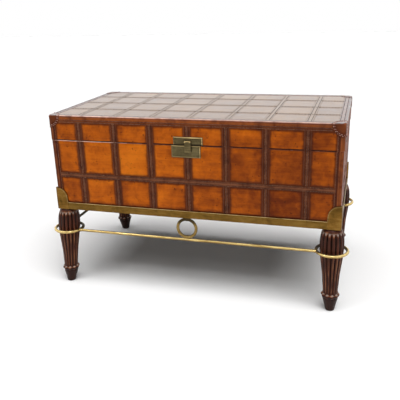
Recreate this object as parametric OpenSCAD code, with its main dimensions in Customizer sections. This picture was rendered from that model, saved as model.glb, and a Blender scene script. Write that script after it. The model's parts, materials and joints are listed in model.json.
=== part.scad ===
// Leather covered trunk on a stand with four turned legs, in millimetres.
// The floor is z = 0, the front faces -Y and X runs along the length of the trunk.

/* [Part to show] */
// Name of one piece, or all

/* [Trunk size] */
// Length of the lid over its leather trim
lid_length = 920; // [860:1:980]
// Depth of the lid over its leather trim
lid_depth = 476; // [450:1:510]
// Height of the whole object
total_height = 578; // [570:1:600]
// Height of the seam between lid and body
seam_height = 499; // [490:1:505]
// How far the body sits inside the lid on each side
body_inset = 1.5; // [1:0.1:3]
// Outside radius of the upright corners
corner_radius = 14; // [12:0.5:18]
// Rounding along the top edge of the lid
edge_round = 5.5; // [4.5:0.1:6]

/* [Boards and coverings] */
// Thickness of the body boards
body_board = 12; // [10:0.5:14]
// Thickness of the lid boards
lid_board = 10; // [8:0.5:12]
// Thickness of the panel leather
leather = 1.5; // [1.2:0.1:2]
// Thickness of straps and bindings
trim = 1.5; // [1.2:0.1:2]
// Thickness of the cloth lining
lining = 1; // [0.6:0.1:1.5]
// Open gap between lid and body at the seam
seam_gap = 0.6; // [0.4:0.1:1.5]

/* [Straps and bindings] */
// Width of the upright and top straps
strap_width = 20; // [16:0.5:24]
// Width of the strap that runs round the body
girth_width = 16; // [14:0.5:20]
// Height of the middle of the girth strap
girth_height = 383; // [360:1:400]
// Distance between straps along the length
strap_pitch = 119; // [110:0.5:120]
// Distance between straps along the depth
row_pitch = 117.5; // [100:0.5:118]
// Width of the corner bindings on each face
binding_width = 22; // [18:0.5:28]
// Width of the rim band on each face of the lid
rim_width = 22.5; // [16:0.5:28]
// Reach of the lid corner caps from the corner
cap_reach = 40; // [34:0.5:46]

/* [Stand rail] */
// Height of the underside of the rail
rail_bottom = 263; // [255:1:270]
// Height of the upright side of the angle rail
rail_height = 24; // [20:0.5:30]
// Width of the flat side of the angle rail
rail_flange = 40; // [38:0.5:46]
// Thickness of the rail metal
rail_metal = 3; // [2.5:0.1:4]
// Reach of the rounded corner plates along the rail
plate_reach = 42; // [38:0.5:50]
// Rise of the corner plates above the rail
plate_rise = 51; // [40:0.5:60]
// How far the corner plates stand out over the rail
plate_cover = 1.5; // [1:0.1:2]

/* [Legs] */
// Distance of the leg bolts in from the ends of the lid
leg_x = 23.5; // [20:0.5:30]
// Distance of the leg bolts in from the front and back of the lid
leg_y = 23.6; // [22:0.2:32]
// Outward lean along the length
lean_x = 1.1; // [0:0.1:2]
// Outward lean along the depth
lean_y = 5.4; // [3:0.1:6]
// Largest radius of the leg
leg_radius = 36.5; // [34:0.5:38]
// Number of reeds round the leg
reed_count = 16; // [12:1:18]
// Width of the valley cut between two reeds
valley_width = 2; // [1:0.1:3]
// Depth of the valley cut between two reeds
valley_depth = 2.4; // [1:0.1:3]
// Radius of the hanger bolt
bolt_radius = 5; // [4:0.5:6]
// Depth of the hanger bolt in the leg
bolt_depth = 50; // [40:1:60]

/* [Hoops and rods] */
// Height of hoops and rods above the floor
hoop_height = 190; // [184:1:198]
// Radius of the hoop to the middle of its wire
hoop_radius = 46.5; // [45:0.5:48]
// Radius of the hoop wire
hoop_wire = 4.8; // [4:0.1:5]
// Radius of the straight rods
rod_radius = 4.6; // [3.8:0.1:4.7]
// How far the rods run outside the leg centres
rod_offset = 15; // [12:0.5:18]
// Sideways place of the rings on the long rods
ring_x = -11; // [-20:1:20]

/* [Latch] */
// Width of both latch plates
latch_width = 92; // [84:1:100]
// Height of the lid plate
lid_plate_height = 25; // [22:0.5:28]
// Height of the body plate
body_plate_height = 38; // [34:0.5:42]
// Thickness of the plates over the leather
plate_metal = 3.2; // [2.8:0.1:3.6]
// Sideways place of the lid plate and tongue
lid_plate_x = 3; // [-6:0.5:6]
// Sideways place of the body plate
body_plate_x = -4.5; // [-6:0.5:6]
// Width of the swinging tongue
tongue_width = 20; // [18:0.5:24]
// Height of the tongue hinge above the seam
tongue_pin_height = 11.3; // [10:0.1:13]
// Drop of the lower end of the tongue below the seam
tongue_low = 22.4; // [17:0.1:25]

/* [Lid hinges] */
// Distance of the hinges from the middle
hinge_x = 297.5; // [280:0.5:300]
// Length of each hinge
hinge_length = 66; // [60:1:76]
// Radius of the hinge barrel
barrel_radius = 4; // [3.6:0.1:4.4]
// Radius of the hinge pin
pin_radius = 2; // [1.8:0.1:2.2]
// Running clearance between pin and moving knuckle
pin_clearance = 0.06; // [0.04:0.01:0.1]
// Opening angle where the stop wings meet
stop_angle = 101.5; // [95:0.5:105]

/* [Hidden] */
$fn = 96;

// Lid sizes from the outside in
lid_leather_l = lid_length - 2 * trim;
lid_leather_d = lid_depth - 2 * trim;
lid_box_l = lid_leather_l - 2 * leather;
lid_box_d = lid_leather_d - 2 * leather;
lid_bottom = seam_height + seam_gap / 2;
lid_leather_top = total_height - trim;
lid_box_top = lid_leather_top - leather;
lid_ceiling = lid_box_top - lid_board;

// Body sizes from the outside in
body_length = lid_length - 2 * body_inset;
body_depth = lid_depth - 2 * body_inset;
body_leather_l = body_length - 2 * trim;
body_leather_d = body_depth - 2 * trim;
body_box_l = body_leather_l - 2 * leather;
body_box_d = body_leather_d - 2 * leather;
body_bottom = rail_bottom + rail_metal;
body_floor = body_bottom + body_board;
body_top = seam_height - seam_gap / 2;

// Corner radii of the layers
leather_radius = corner_radius - trim;
box_radius = leather_radius - leather;
rail_radius = corner_radius + rail_metal;

// Rail sizes
rail_length = body_length + 2 * rail_metal;
rail_depth = body_depth + 2 * rail_metal;
rail_top = rail_bottom + rail_height;
rail_split = rail_depth / 2 - rail_flange;

// Leg, hoop and rod places
bolt_x = lid_length / 2 - leg_x;
bolt_y = lid_depth / 2 - leg_y;
leg_reach = 2 * leg_radius + rail_bottom * tan(lean_y);
hoop_drop = rail_bottom - hoop_height;
hoop_x = bolt_x + hoop_drop * tan(lean_x);
hoop_y = bolt_y + hoop_drop * tan(lean_y);
rod_x = hoop_x + rod_offset;
rod_y = hoop_y + rod_offset;
braze = 0.8;
ring_radius = (rail_bottom + braze - hoop_height - rod_radius + braze) / 2 - hoop_wire;
ring_height = hoop_height + rod_radius - braze + hoop_wire + ring_radius;
bolt_fit = 0.1;
nut_radius = 6.4;
nut_flange = 12;
nut_flange_thick = 1.5;

// Latch places
lid_face = lid_leather_d / 2;
body_face = body_leather_d / 2;
strap_recess = trim + 0.05;
lid_plate_low = lid_bottom + 0.4;
body_plate_high = body_top - 0.4;
tongue_thick = 2.4;
tongue_barrel = 3;
tongue_pin = 1.5;
tongue_clearance = 0.05;
tongue_pin_z = seam_height + tongue_pin_height;
tongue_end_z = seam_height - tongue_low;
tongue_y = -(lid_face + plate_metal + tongue_barrel + 0.4);
knuckle_width = 11;
stud_width = 7;
notch_width = 9;
nail_inset = 6;

// Hinge places
hinge_y = lid_face + barrel_radius + 0.5;
leaf_thick = 2;
leaf_height = 24;
wing_reach = 12;
screw_spacing = 22;
screw_drop = 14;

// Solid block with rounded upright corners between two heights
module rounded_block(l, d, r, low, high) {
  translate([0, 0, low])
    linear_extrude(high - low) {
      square([l - 2 * r, d], center = true);
      square([l, d - 2 * r], center = true);
      for (sx = [-1, 1])
        for (sy = [-1, 1])
          translate([sx * (l / 2 - r), sy * (d / 2 - r)])
            circle(r);
    }
}

// Box given by its low and high corners
module box(low, high) {
  translate(low)
    cube(high - low);
}

// Carries a wall section round a rounded rectangle
module carry_round(l, d, r) {
  for (i = [0:3]) {
    a = i % 2 == 0 ? l / 2 : d / 2;
    b = i % 2 == 0 ? d / 2 : l / 2;
    rotate([0, 0, 90 * i])
      translate([a - r, b - r, 0]) {
        rotate([90, 0, 0])
          linear_extrude(2 * (b - r))
            children();
        rotate_extrude(angle = 90)
          intersection() {
            children();
            square([r + 1, total_height + 1]);
          }
      }
  }
}

// Upright section with a rounded upper outside edge
module round_top_section(r, top, e, low) {
  translate([-60, low])
    square([60 + r - e, top - low]);
  translate([-60, low])
    square([60 + r, top - e - low]);
  translate([r - e, top - e])
    circle(e);
}

// Lid trim section that the rim band and the caps are cut from
module lid_trim_section(reach) {
  intersection() {
    difference() {
      round_top_section(corner_radius, total_height, edge_round, lid_bottom);
      round_top_section(leather_radius, lid_leather_top, edge_round - trim, lid_bottom - 1);
    }
    translate([corner_radius - reach, total_height - reach])
      square([reach + 1, reach + 1]);
  }
}

// Round reach of the corner caps
module cap_balls(grow) {
  for (sx = [-1, 1])
    for (sy = [-1, 1])
      translate([sx * lid_length / 2, sy * lid_depth / 2, total_height])
        sphere(cap_reach + grow);
}

// Places of the straps across the length
module at_straps() {
  for (i = [-3:3])
    translate([i * strap_pitch, 0, 0])
      children();
}

// Places of the straps along the depth
module at_rows() {
  for (i = [-1:1])
    translate([0, i * row_pitch, 0])
      children();
}

// Puts a front right piece at the chosen corner
module at_corner(sx, sy) {
  mirror([sx < 0 ? 1 : 0, 0, 0])
    mirror([0, sy > 0 ? 1 : 0, 0])
      children();
}

// Legs, drawn as shares of the largest radius and of the length of the leg
shoulder_profile = [[0.493, 1.027], [0.658, 1.000], [0.811, 0.964], [0.915, 0.922], [0.975, 0.871],
  [1.000, 0.791], [0.992, 0.700], [0.956, 0.605], [0.879, 0.510], [0.784, 0.426],
  [0.674, 0.327], [0.581, 0.213]];
neck_profile = [[0.581, 0.213], [0.559, 0.167], [0.515, 0.106], [0.458, 0.053], [0.416, 0.015],
  [0.384, -0.011]];
collar_height = 0.19 * rail_bottom;
collar_thick = 7.3;
collar_radius = 22;
blade_reach = 60;

// Outline of a turning in millimetres, drawn in by the given distance
function scaled(profile, less) =
  [for (p = profile) [p[0] * leg_radius - less, p[1] * rail_bottom]];

module turned(profile) {
  last = len(profile) - 1;
  rotate_extrude()
    polygon(concat([[0, profile[0][1] * rail_bottom]], scaled(profile, 0),
      [[0, profile[last][1] * rail_bottom]]));
}

// Turned leg on its own upright axis
module leg_turning() {
  first = 2;
  cut = [for (i = [first:len(shoulder_profile) - 2]) shoulder_profile[i]];
  difference() {
    turned(shoulder_profile);
    for (i = [0:reed_count - 1])
      rotate([90, 0, i * 360 / reed_count])
        translate([0, 0, -valley_width / 2])
          linear_extrude(valley_width)
            polygon(concat([[blade_reach, rail_bottom - 1]], scaled(cut, valley_depth),
              [[blade_reach, collar_height]]));
  }
  turned(neck_profile);
  rotate_extrude()
    translate([collar_radius, collar_height])
      circle(collar_thick);
}

module leg() {
  color("#4a2420")
    difference() {
      intersection() {
        translate([bolt_x, -bolt_y, rail_bottom])
          rotate([-lean_y, -lean_x, 0])
            translate([0, 0, -rail_bottom])
              leg_turning();
        box([bolt_x - leg_reach, -bolt_y - leg_reach, 0],
          [bolt_x + leg_reach, -bolt_y + leg_reach, rail_bottom]);
      }
      translate([bolt_x, -bolt_y, rail_bottom - bolt_depth - 1])
        cylinder(r = bolt_radius + bolt_fit, h = bolt_depth + 2);
    }
}

module leg_front_left() {
  at_corner(-1, -1)
    leg();
}

module leg_front_right() {
  at_corner(1, -1)
    leg();
}

module leg_back_left() {
  at_corner(-1, 1)
    leg();
}

module leg_back_right() {
  at_corner(1, 1)
    leg();
}

// Hanger bolts and the nuts let into the bottom board
module at_leg_bolts() {
  for (sx = [-1, 1])
    for (sy = [-1, 1])
      translate([sx * bolt_x, sy * bolt_y, 0])
        children();
}

module leg_bolts() {
  color("#a8a8a4")
    at_leg_bolts()
      translate([0, 0, rail_bottom - bolt_depth])
        cylinder(r = bolt_radius, h = bolt_depth + rail_metal + body_board - 1);
}

module leg_nuts() {
  color("#a8a8a4")
    at_leg_bolts()
      difference() {
        union() {
          translate([0, 0, body_bottom + 0.3])
            cylinder(r = nut_radius, h = body_board - 0.3);
          translate([0, 0, body_floor - nut_flange_thick])
            cylinder(r = nut_flange, h = nut_flange_thick);
        }
        translate([0, 0, body_bottom - 1])
          cylinder(r = bolt_radius + bolt_fit, h = body_board + 2);
      }
}

// Angle rail round the foot of the trunk
module rail_ring() {
  difference() {
    rounded_block(rail_length, rail_depth, rail_radius, rail_bottom, rail_top);
    rounded_block(body_length, body_depth, corner_radius, body_bottom, rail_top + 1);
    box([-rail_length / 2 + rail_flange, -rail_split, rail_bottom - 1],
      [rail_length / 2 - rail_flange, rail_split, body_bottom + 1]);
  }
}

module rail_end() {
  color("#8a6a30")
    difference() {
      intersection() {
        rail_ring();
        box([-rail_length, -rail_depth, rail_bottom - 1], [rail_length, -rail_split, rail_top + 1]);
      }
      at_leg_bolts()
        translate([0, 0, rail_bottom - 1])
          cylinder(r = bolt_radius + 0.5, h = rail_metal + 2);
    }
}

module rail_side() {
  color("#8a6a30")
    intersection() {
      rail_ring();
      box([rail_length / 2 - rail_flange, -rail_split, rail_bottom - 1],
        [rail_length, rail_split, rail_top + 1]);
    }
}

module rail_front() {
  rail_end();
}

module rail_back() {
  mirror([0, 1, 0])
    rail_end();
}

module rail_right() {
  rail_side();
}

module rail_left() {
  mirror([1, 0, 0])
    rail_side();
}

// Rounded plate outline standing on the rail, measured from the outside corner
module plate_outline() {
  straight = rail_height + plate_rise - plate_reach;
  intersection() {
    translate([0, straight])
      circle(plate_reach);
    translate([-plate_reach - 1, straight])
      square([plate_reach + 1, plate_reach + 1]);
  }
  translate([-plate_reach, 0])
    square([plate_reach, straight]);
}

module corner_plate() {
  l = rail_length + 2 * plate_cover;
  d = rail_depth + 2 * plate_cover;
  color("#9a7434")
    difference() {
      intersection() {
        rounded_block(l, d, rail_radius + plate_cover, rail_bottom, rail_top + plate_rise);
        union() {
          translate([l / 2, -d / 2 + rail_radius + plate_cover, rail_bottom])
            rotate([90, 0, 0])
              linear_extrude(rail_radius + plate_cover)
                plate_outline();
          translate([l / 2 - rail_radius - plate_cover, -d / 2, rail_bottom])
            rotate([90, 0, 90])
              mirror([1, 0, 0])
                linear_extrude(rail_radius + plate_cover)
                  plate_outline();
        }
      }
      rounded_block(body_length, body_depth, corner_radius, rail_bottom - 1, total_height);
      rounded_block(rail_length, rail_depth, rail_radius, rail_bottom - 1, rail_top);
    }
}

module corner_plate_front_left() {
  at_corner(-1, -1)
    corner_plate();
}

module corner_plate_front_right() {
  at_corner(1, -1)
    corner_plate();
}

module corner_plate_back_left() {
  at_corner(-1, 1)
    corner_plate();
}

module corner_plate_back_right() {
  at_corner(1, 1)
    corner_plate();
}

// Hoops round the legs
module hoop(sx, sy) {
  translate([sx * hoop_x, sy * hoop_y, hoop_height])
    rotate_extrude()
      translate([hoop_radius, 0])
        circle(hoop_wire, $fn = 48);
}

module hoop_front_left() {
  color("#c89a3c")
    hoop(-1, -1);
}

module hoop_front_right() {
  color("#c89a3c")
    hoop(1, -1);
}

module hoop_back_left() {
  color("#c89a3c")
    hoop(-1, 1);
}

module hoop_back_right() {
  color("#c89a3c")
    hoop(1, 1);
}

// Upright rings between the long rods and the rail
module ring_wire(sx, sy) {
  translate([sx * ring_x, sy * rod_y, ring_height])
    rotate([90, 0, 0])
      rotate_extrude()
        translate([ring_radius, 0])
          circle(hoop_wire, $fn = 48);
}

module ring(sx, sy) {
  color("#c89a3c")
    difference() {
      ring_wire(sx, sy);
      translate([sx * ring_x - 30, sy * rod_y - 10, rail_bottom])
        cube([60, 20, 20]);
    }
}

module ring_front() {
  ring(1, -1);
}

module ring_back() {
  ring(-1, 1);
}

// Straight rods cut to the hoops and rings they are brazed to
module long_rod(sx, sy) {
  reach = hoop_x - sqrt(hoop_radius * hoop_radius - rod_offset * rod_offset);
  color("#c89a3c")
    difference() {
      translate([-reach, sy * rod_y, hoop_height])
        rotate([0, 90, 0])
          cylinder(r = rod_radius, h = 2 * reach);
      hoop(-1, sy);
      hoop(1, sy);
      ring_wire(sx, sy);
    }
}

module side_rod(sx) {
  reach = hoop_y - sqrt(hoop_radius * hoop_radius - rod_offset * rod_offset);
  color("#c89a3c")
    difference() {
      translate([sx * rod_x, reach, hoop_height])
        rotate([90, 0, 0])
          cylinder(r = rod_radius, h = 2 * reach);
      hoop(sx, -1);
      hoop(sx, 1);
    }
}

module rod_front() {
  long_rod(1, -1);
}

module rod_back() {
  long_rod(-1, 1);
}

module rod_left() {
  side_rod(-1);
}

module rod_right() {
  side_rod(1);
}

// Body boards
module body_wood(low, high) {
  color("#b08a5c")
    intersection() {
      rounded_block(body_box_l, body_box_d, box_radius, low[2], high[2]);
      box([low[0], low[1], low[2] - 1], [high[0], high[1], high[2] + 1]);
    }
}

body_in_x = body_box_l / 2 - body_board;
body_in_y = body_box_d / 2 - body_board;

module body_board_bottom() {
  color("#b08a5c")
    difference() {
      rounded_block(body_box_l, body_box_d, box_radius, body_bottom, body_floor);
      at_leg_bolts() {
        translate([0, 0, body_bottom - 1])
          cylinder(r = nut_radius + bolt_fit, h = body_board + 2);
        translate([0, 0, body_floor - nut_flange_thick])
          cylinder(r = nut_flange + bolt_fit, h = nut_flange_thick + 1);
      }
    }
}

module body_board_front() {
  difference() {
    body_wood([-body_box_l, -body_box_d, body_floor], [body_box_l, -body_in_y, body_top]);
    latch_nail_bores(body_plate_x, -body_face, body_plate_low(), body_plate_high);
  }
}

module body_board_back() {
  difference() {
    body_wood([-body_box_l, body_in_y, body_floor], [body_box_l, body_box_d, body_top]);
    body_hinge_bores();
  }
}

module body_board_left() {
  body_wood([-body_box_l, -body_in_y, body_floor], [-body_in_x, body_in_y, body_top]);
}

module body_board_right() {
  body_wood([body_in_x, -body_in_y, body_floor], [body_box_l, body_in_y, body_top]);
}

// Body coverings
module body_leather() {
  color("#b4622c")
    difference() {
      rounded_block(body_leather_l, body_leather_d, leather_radius, body_bottom, body_top);
      rounded_block(body_box_l, body_box_d, box_radius, body_bottom - 1, body_top + 1);
      latch_nail_bores(body_plate_x, -body_face, body_plate_low(), body_plate_high);
      body_hinge_bores();
    }
}

// Layer of trim leather on the body, counted outward
module body_trim_layer(n, low, high) {
  grow = 2 * trim * n;
  difference() {
    rounded_block(body_leather_l + grow, body_leather_d + grow, leather_radius + trim * n,
      low, high);
    rounded_block(body_leather_l + grow - 2 * trim, body_leather_d + grow - 2 * trim,
      leather_radius + trim * (n - 1), low - 1, high + 1);
  }
}

module corner_posts(width, low, high) {
  for (sx = [-1, 1])
    for (sy = [-1, 1])
      translate([sx * body_length / 2, sy * body_depth / 2, (low + high) / 2])
        cube([2 * width, 2 * width, high - low], center = true);
}

module upright_posts(width, low, high) {
  at_straps()
    translate([0, 0, (low + high) / 2])
      cube([width, body_depth + 20, high - low], center = true);
  at_rows()
    translate([0, 0, (low + high) / 2])
      cube([body_length + 20, width, high - low], center = true);
}

module body_corner_bindings() {
  color("#5a2a2c")
    intersection() {
      body_trim_layer(1, body_bottom, body_top);
      corner_posts(binding_width, body_bottom - 1, body_top + 1);
    }
}

module body_straps_upright() {
  color("#43242c")
    intersection() {
      body_trim_layer(1, body_bottom, body_top);
      upright_posts(strap_width, body_bottom - 1, body_top + 1);
    }
}

module body_strap_girth() {
  low = girth_height - girth_width / 2;
  high = girth_height + girth_width / 2;
  color("#43242c") {
    difference() {
      body_trim_layer(1, low, high);
      upright_posts(strap_width, low - 1, high + 1);
      corner_posts(binding_width, low - 1, high + 1);
    }
    intersection() {
      body_trim_layer(2, low, high);
      union() {
        upright_posts(strap_width + 4, low - 1, high + 1);
        corner_posts(binding_width + 2, low - 1, high + 1);
      }
    }
  }
}

module body_lining() {
  color("#6e5a44")
    difference() {
      box([-body_in_x, -body_in_y, body_floor], [body_in_x, body_in_y, body_top - 0.5]);
      box([-body_in_x + lining, -body_in_y + lining, body_floor + lining],
        [body_in_x - lining, body_in_y - lining, body_top + 1]);
    }
}

// Lid boards
lid_in_x = lid_box_l / 2 - lid_board;
lid_in_y = lid_box_d / 2 - lid_board;

module lid_wood(low, high) {
  color("#b08a5c")
    intersection() {
      rounded_block(lid_box_l, lid_box_d, box_radius, low[2], high[2]);
      box([low[0], low[1], low[2] - 1], [high[0], high[1], high[2] + 1]);
    }
}

module lid_board_top() {
  color("#b08a5c")
    rounded_block(lid_box_l, lid_box_d, box_radius, lid_ceiling, lid_box_top);
}

module lid_board_front() {
  difference() {
    lid_wood([-lid_box_l, -lid_box_d, lid_bottom], [lid_box_l, -lid_in_y, lid_ceiling]);
    latch_nail_bores(lid_plate_x, -lid_face, lid_plate_low, lid_plate_high());
  }
}

module lid_board_back() {
  difference() {
    lid_wood([-lid_box_l, lid_in_y, lid_bottom], [lid_box_l, lid_box_d, lid_ceiling]);
    lid_hinge_bores();
  }
}

module lid_board_left() {
  lid_wood([-lid_box_l, -lid_in_y, lid_bottom], [-lid_in_x, lid_in_y, lid_ceiling]);
}

module lid_board_right() {
  lid_wood([lid_in_x, -lid_in_y, lid_bottom], [lid_box_l, lid_in_y, lid_ceiling]);
}

// Lid coverings
module lid_leather() {
  color("#a85626")
    difference() {
      union() {
        carry_round(lid_leather_l, lid_leather_d, leather_radius)
          difference() {
            intersection() {
              round_top_section(leather_radius, lid_leather_top, edge_round - trim, lid_bottom);
              translate([0, lid_bottom])
                square([leather_radius + 1, total_height]);
            }
            translate([-1, lid_bottom - 1])
              square([1 + box_radius, 1 + lid_box_top - lid_bottom]);
          }
        box([-lid_leather_l / 2 + leather_radius, -lid_leather_d / 2 + leather_radius, lid_box_top],
          [lid_leather_l / 2 - leather_radius, lid_leather_d / 2 - leather_radius, lid_leather_top]);
      }
      latch_nail_bores(lid_plate_x, -lid_face, lid_plate_low, lid_plate_high());
      lid_hinge_bores();
    }
}

module lid_rim_band() {
  color("#7a3022")
    difference() {
      carry_round(lid_length, lid_depth, corner_radius)
        lid_trim_section(rim_width);
      cap_balls(0);
    }
}

module lid_caps(sy) {
  color("#6a2a24")
    intersection() {
      carry_round(lid_length, lid_depth, corner_radius)
        lid_trim_section(cap_reach + 8);
      cap_balls(0);
      box([-lid_length, sy < 0 ? -lid_depth : 1, lid_bottom],
        [lid_length, sy < 0 ? -1 : lid_depth, total_height + 1]);
    }
}

module lid_caps_front() {
  lid_caps(-1);
}

module lid_caps_back() {
  lid_caps(1);
}

module lid_straps_wall() {
  color("#43242c")
    intersection() {
      difference() {
        rounded_block(lid_length, lid_depth, corner_radius, lid_bottom, total_height - rim_width);
        rounded_block(lid_leather_l, lid_leather_d, leather_radius, lid_bottom - 1, total_height);
      }
      upright_posts(strap_width, lid_bottom - 1, total_height + 1);
    }
}

lid_top_x = lid_length / 2 - rim_width;
lid_top_y = lid_depth / 2 - rim_width;

module lid_straps_across() {
  color("#43242c")
    at_straps()
      box([-strap_width / 2, -lid_top_y, lid_leather_top],
        [strap_width / 2, lid_top_y, total_height]);
}

module lid_straps_lengthwise() {
  color("#43242c")
    difference() {
      at_rows()
        box([-lid_top_x, -strap_width / 2, lid_leather_top],
          [lid_top_x, strap_width / 2, total_height]);
      at_straps()
        box([-strap_width / 2, -lid_top_y - 1, lid_leather_top - 1],
          [strap_width / 2, lid_top_y + 1, total_height + 1]);
    }
}

module lid_lining() {
  color("#6e5a44")
    difference() {
      box([-lid_in_x, -lid_in_y, lid_bottom + 0.5], [lid_in_x, lid_in_y, lid_ceiling]);
      box([-lid_in_x + lining, -lid_in_y + lining, lid_bottom - 1],
        [lid_in_x - lining, lid_in_y - lining, lid_ceiling - lining]);
    }
}

// Latch
function lid_plate_high() = lid_plate_low + lid_plate_height;
function body_plate_low() = body_plate_high - body_plate_height;
nail_radius = 1.1;
nail_head = 2.4;
nail_length = 8;

module at_latch_nails(x, face, low, high) {
  for (sx = [-1, 1])
    for (z = [low + nail_inset, high - nail_inset])
      translate([x + sx * (latch_width / 2 - nail_inset), face, z])
        children();
}

// Bores for the four nails of one plate
module latch_nail_bores(x, face, low, high) {
  at_latch_nails(x, face, low, high)
    translate([0, nail_length - plate_metal, 0])
      rotate([90, 0, 0])
        cylinder(r = nail_radius, h = nail_length + 4, $fn = 24);
}

module latch_nails(x, face, low, high) {
  color("#9a7c3a")
    at_latch_nails(x, face, low, high) {
      translate([0, nail_length - plate_metal, 0])
        rotate([90, 0, 0])
          cylinder(r = nail_radius, h = nail_length + 0.5, $fn = 24);
      translate([0, -plate_metal, 0])
        rotate([90, 0, 0])
          cylinder(r = nail_head, h = 0.9, $fn = 32);
    }
}

module latch_plate(x, face, low, high) {
  difference() {
    box([x - latch_width / 2, face - plate_metal, low], [x + latch_width / 2, face, high]);
    box([-strap_width / 2 - 0.1, face - strap_recess, low - 1],
      [strap_width / 2 + 0.1, face + 1, high + 1]);
    latch_nail_bores(x, face, low, high);
  }
}

module latch_plate_lid() {
  ear = (tongue_width - knuckle_width) / 2 - 0.3;
  color("#7d6a34")
    difference() {
      union() {
        latch_plate(lid_plate_x, -lid_face, lid_plate_low, lid_plate_high());
        for (sx = [-1, 1])
          translate([lid_plate_x + sx * (tongue_width / 2 - ear / 2), 0, tongue_pin_z]) {
            translate([0, tongue_y, 0])
              rotate([0, 90, 0])
                cylinder(r = tongue_barrel, h = ear, center = true);
            translate([0, (tongue_y - lid_face - plate_metal) / 2, 0])
              cube([ear, -tongue_y - lid_face - plate_metal, 2 * tongue_barrel], center = true);
          }
      }
      translate([lid_plate_x, tongue_y, tongue_pin_z])
        rotate([0, 90, 0])
          cylinder(r = tongue_pin, h = tongue_width + 2, center = true);
    }
}

module latch_plate_body() {
  color("#7d6a34")
    difference() {
      latch_plate(body_plate_x, -body_face, body_plate_low(), body_plate_high);
      box([lid_plate_x - notch_width / 2, -body_face - plate_metal - 1, tongue_end_z + 5],
        [lid_plate_x + notch_width / 2, -body_face + 1, body_plate_high + 1]);
    }
}

module latch_tongue() {
  back = tongue_y + 1.6;
  color("#7d6a34")
    difference() {
      union() {
        translate([lid_plate_x, tongue_y, tongue_pin_z])
          rotate([0, 90, 0])
            cylinder(r = tongue_barrel, h = knuckle_width, center = true);
        box([lid_plate_x - knuckle_width / 2, back - tongue_thick, tongue_pin_z - 5],
          [lid_plate_x + knuckle_width / 2, back, tongue_pin_z - 2]);
        box([lid_plate_x - tongue_width / 2, back - tongue_thick, tongue_end_z],
          [lid_plate_x + tongue_width / 2, back, tongue_pin_z - 4]);
        box([lid_plate_x - stud_width / 2, back, tongue_end_z + 7],
          [lid_plate_x + stud_width / 2, -body_face - strap_recess - 0.3, tongue_end_z + 13]);
      }
      translate([lid_plate_x, tongue_y, tongue_pin_z])
        rotate([0, 90, 0])
          cylinder(r = tongue_pin + tongue_clearance, h = tongue_width + 2, center = true);
    }
}

module latch_pin() {
  color("#c89a3c")
    translate([lid_plate_x, tongue_y, tongue_pin_z])
      rotate([0, 90, 0])
        cylinder(r = tongue_pin, h = tongue_width, center = true);
}

module latch_nails_lid() {
  latch_nails(lid_plate_x, -lid_face, lid_plate_low, lid_plate_high());
}

module latch_nails_body() {
  latch_nails(body_plate_x, -body_face, body_plate_low(), body_plate_high);
}

// Lid hinges
knuckle_step = hinge_length / 5;
knuckle_gap = 0.3;
screw_radius = 1.7;
screw_head = 3.5;
screw_length = 10;

module at_screws(face, z) {
  for (sx = [-1, 1])
    for (i = [-1:1])
      translate([sx * hinge_x + i * screw_spacing, face + leaf_thick, z])
        rotate([90, 0, 0])
          children();
}

module screw_shape(grow) {
  translate([0, 0, -grow])
    cylinder(r1 = screw_head + grow, r2 = screw_radius + grow, h = leaf_thick + grow, $fn = 32);
  cylinder(r = screw_radius + grow, h = screw_length + grow, $fn = 32);
}

module body_hinge_bores() {
  at_screws(body_face, seam_height - screw_drop)
    screw_shape(0.05);
}

module lid_hinge_bores() {
  at_screws(lid_face, seam_height + screw_drop)
    screw_shape(0.05);
}

module hinge_screws_body() {
  color("#c8a24a")
    at_screws(body_face, seam_height - screw_drop)
      screw_shape(0);
}

module hinge_screws_lid() {
  color("#c8a24a")
    at_screws(lid_face, seam_height + screw_drop)
      screw_shape(0);
}

// One knuckle of the barrel with its web to the leaf
module knuckle(i, side, face) {
  low = -hinge_length / 2 + i * knuckle_step + (i == 0 ? 0 : knuckle_gap / 2);
  wide = knuckle_step - (i == 0 || i == 4 ? knuckle_gap / 2 : knuckle_gap);
  translate([low, 0, 0])
    rotate([0, 90, 0])
      cylinder(r = barrel_radius, h = wide);
  translate([low, face - hinge_y, side > 0 ? 1.2 : -barrel_radius])
    cube([wide, hinge_y - face - 1, barrel_radius - 1.2]);
}

// Room for the knuckles of the other leaf
module knuckle_room(first) {
  for (i = [first:2:4])
    translate([-hinge_length / 2 + i * knuckle_step - knuckle_gap / 2 - (i == 0 ? 1 : 0),
      -leaf_height, -barrel_radius - 0.5])
      cube([knuckle_step + knuckle_gap + (i == 0 || i == 4 ? 1 : 0), leaf_height,
        2 * barrel_radius + 1]);
}

// Stop wing along the whole hinge, with a root at its own knuckles
module stop_wing(side, first) {
  rotate([side * stop_angle / 2, 0, 0])
    translate([0, 0, side > 0 ? 0 : -leaf_thick]) {
      translate([-hinge_length / 2, barrel_radius + 0.4, 0])
        cube([hinge_length, wing_reach - barrel_radius - 0.4, leaf_thick]);
      for (i = [first:2:4])
        translate([-hinge_length / 2 + i * knuckle_step + knuckle_gap, barrel_radius - 1.2, 0])
          cube([knuckle_step - 2 * knuckle_gap, 2, leaf_thick]);
    }
}

module hinge_leaf(sx, side, face, first, bore) {
  color("#9a7c3a")
    difference() {
      union() {
        translate([sx * hinge_x, 0, seam_height]) {
          difference() {
            translate([-hinge_length / 2, face, side > 0 ? 1.2 : -leaf_height])
              cube([hinge_length, leaf_thick, leaf_height - 1.2]);
            translate([0, hinge_y, 0])
              knuckle_room(1 - first);
          }
          translate([0, hinge_y, 0]) {
            for (i = [first:2:4])
              knuckle(i, side, face);
            stop_wing(side, first);
          }
        }
      }
      translate([sx * hinge_x, hinge_y, seam_height])
        rotate([0, 90, 0])
          cylinder(r = bore, h = hinge_length + 2, center = true);
      if (side > 0)
        lid_hinge_bores();
      else
        body_hinge_bores();
    }
}

module hinge_left_body_leaf() {
  hinge_leaf(-1, -1, body_face, 0, pin_radius);
}

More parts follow.
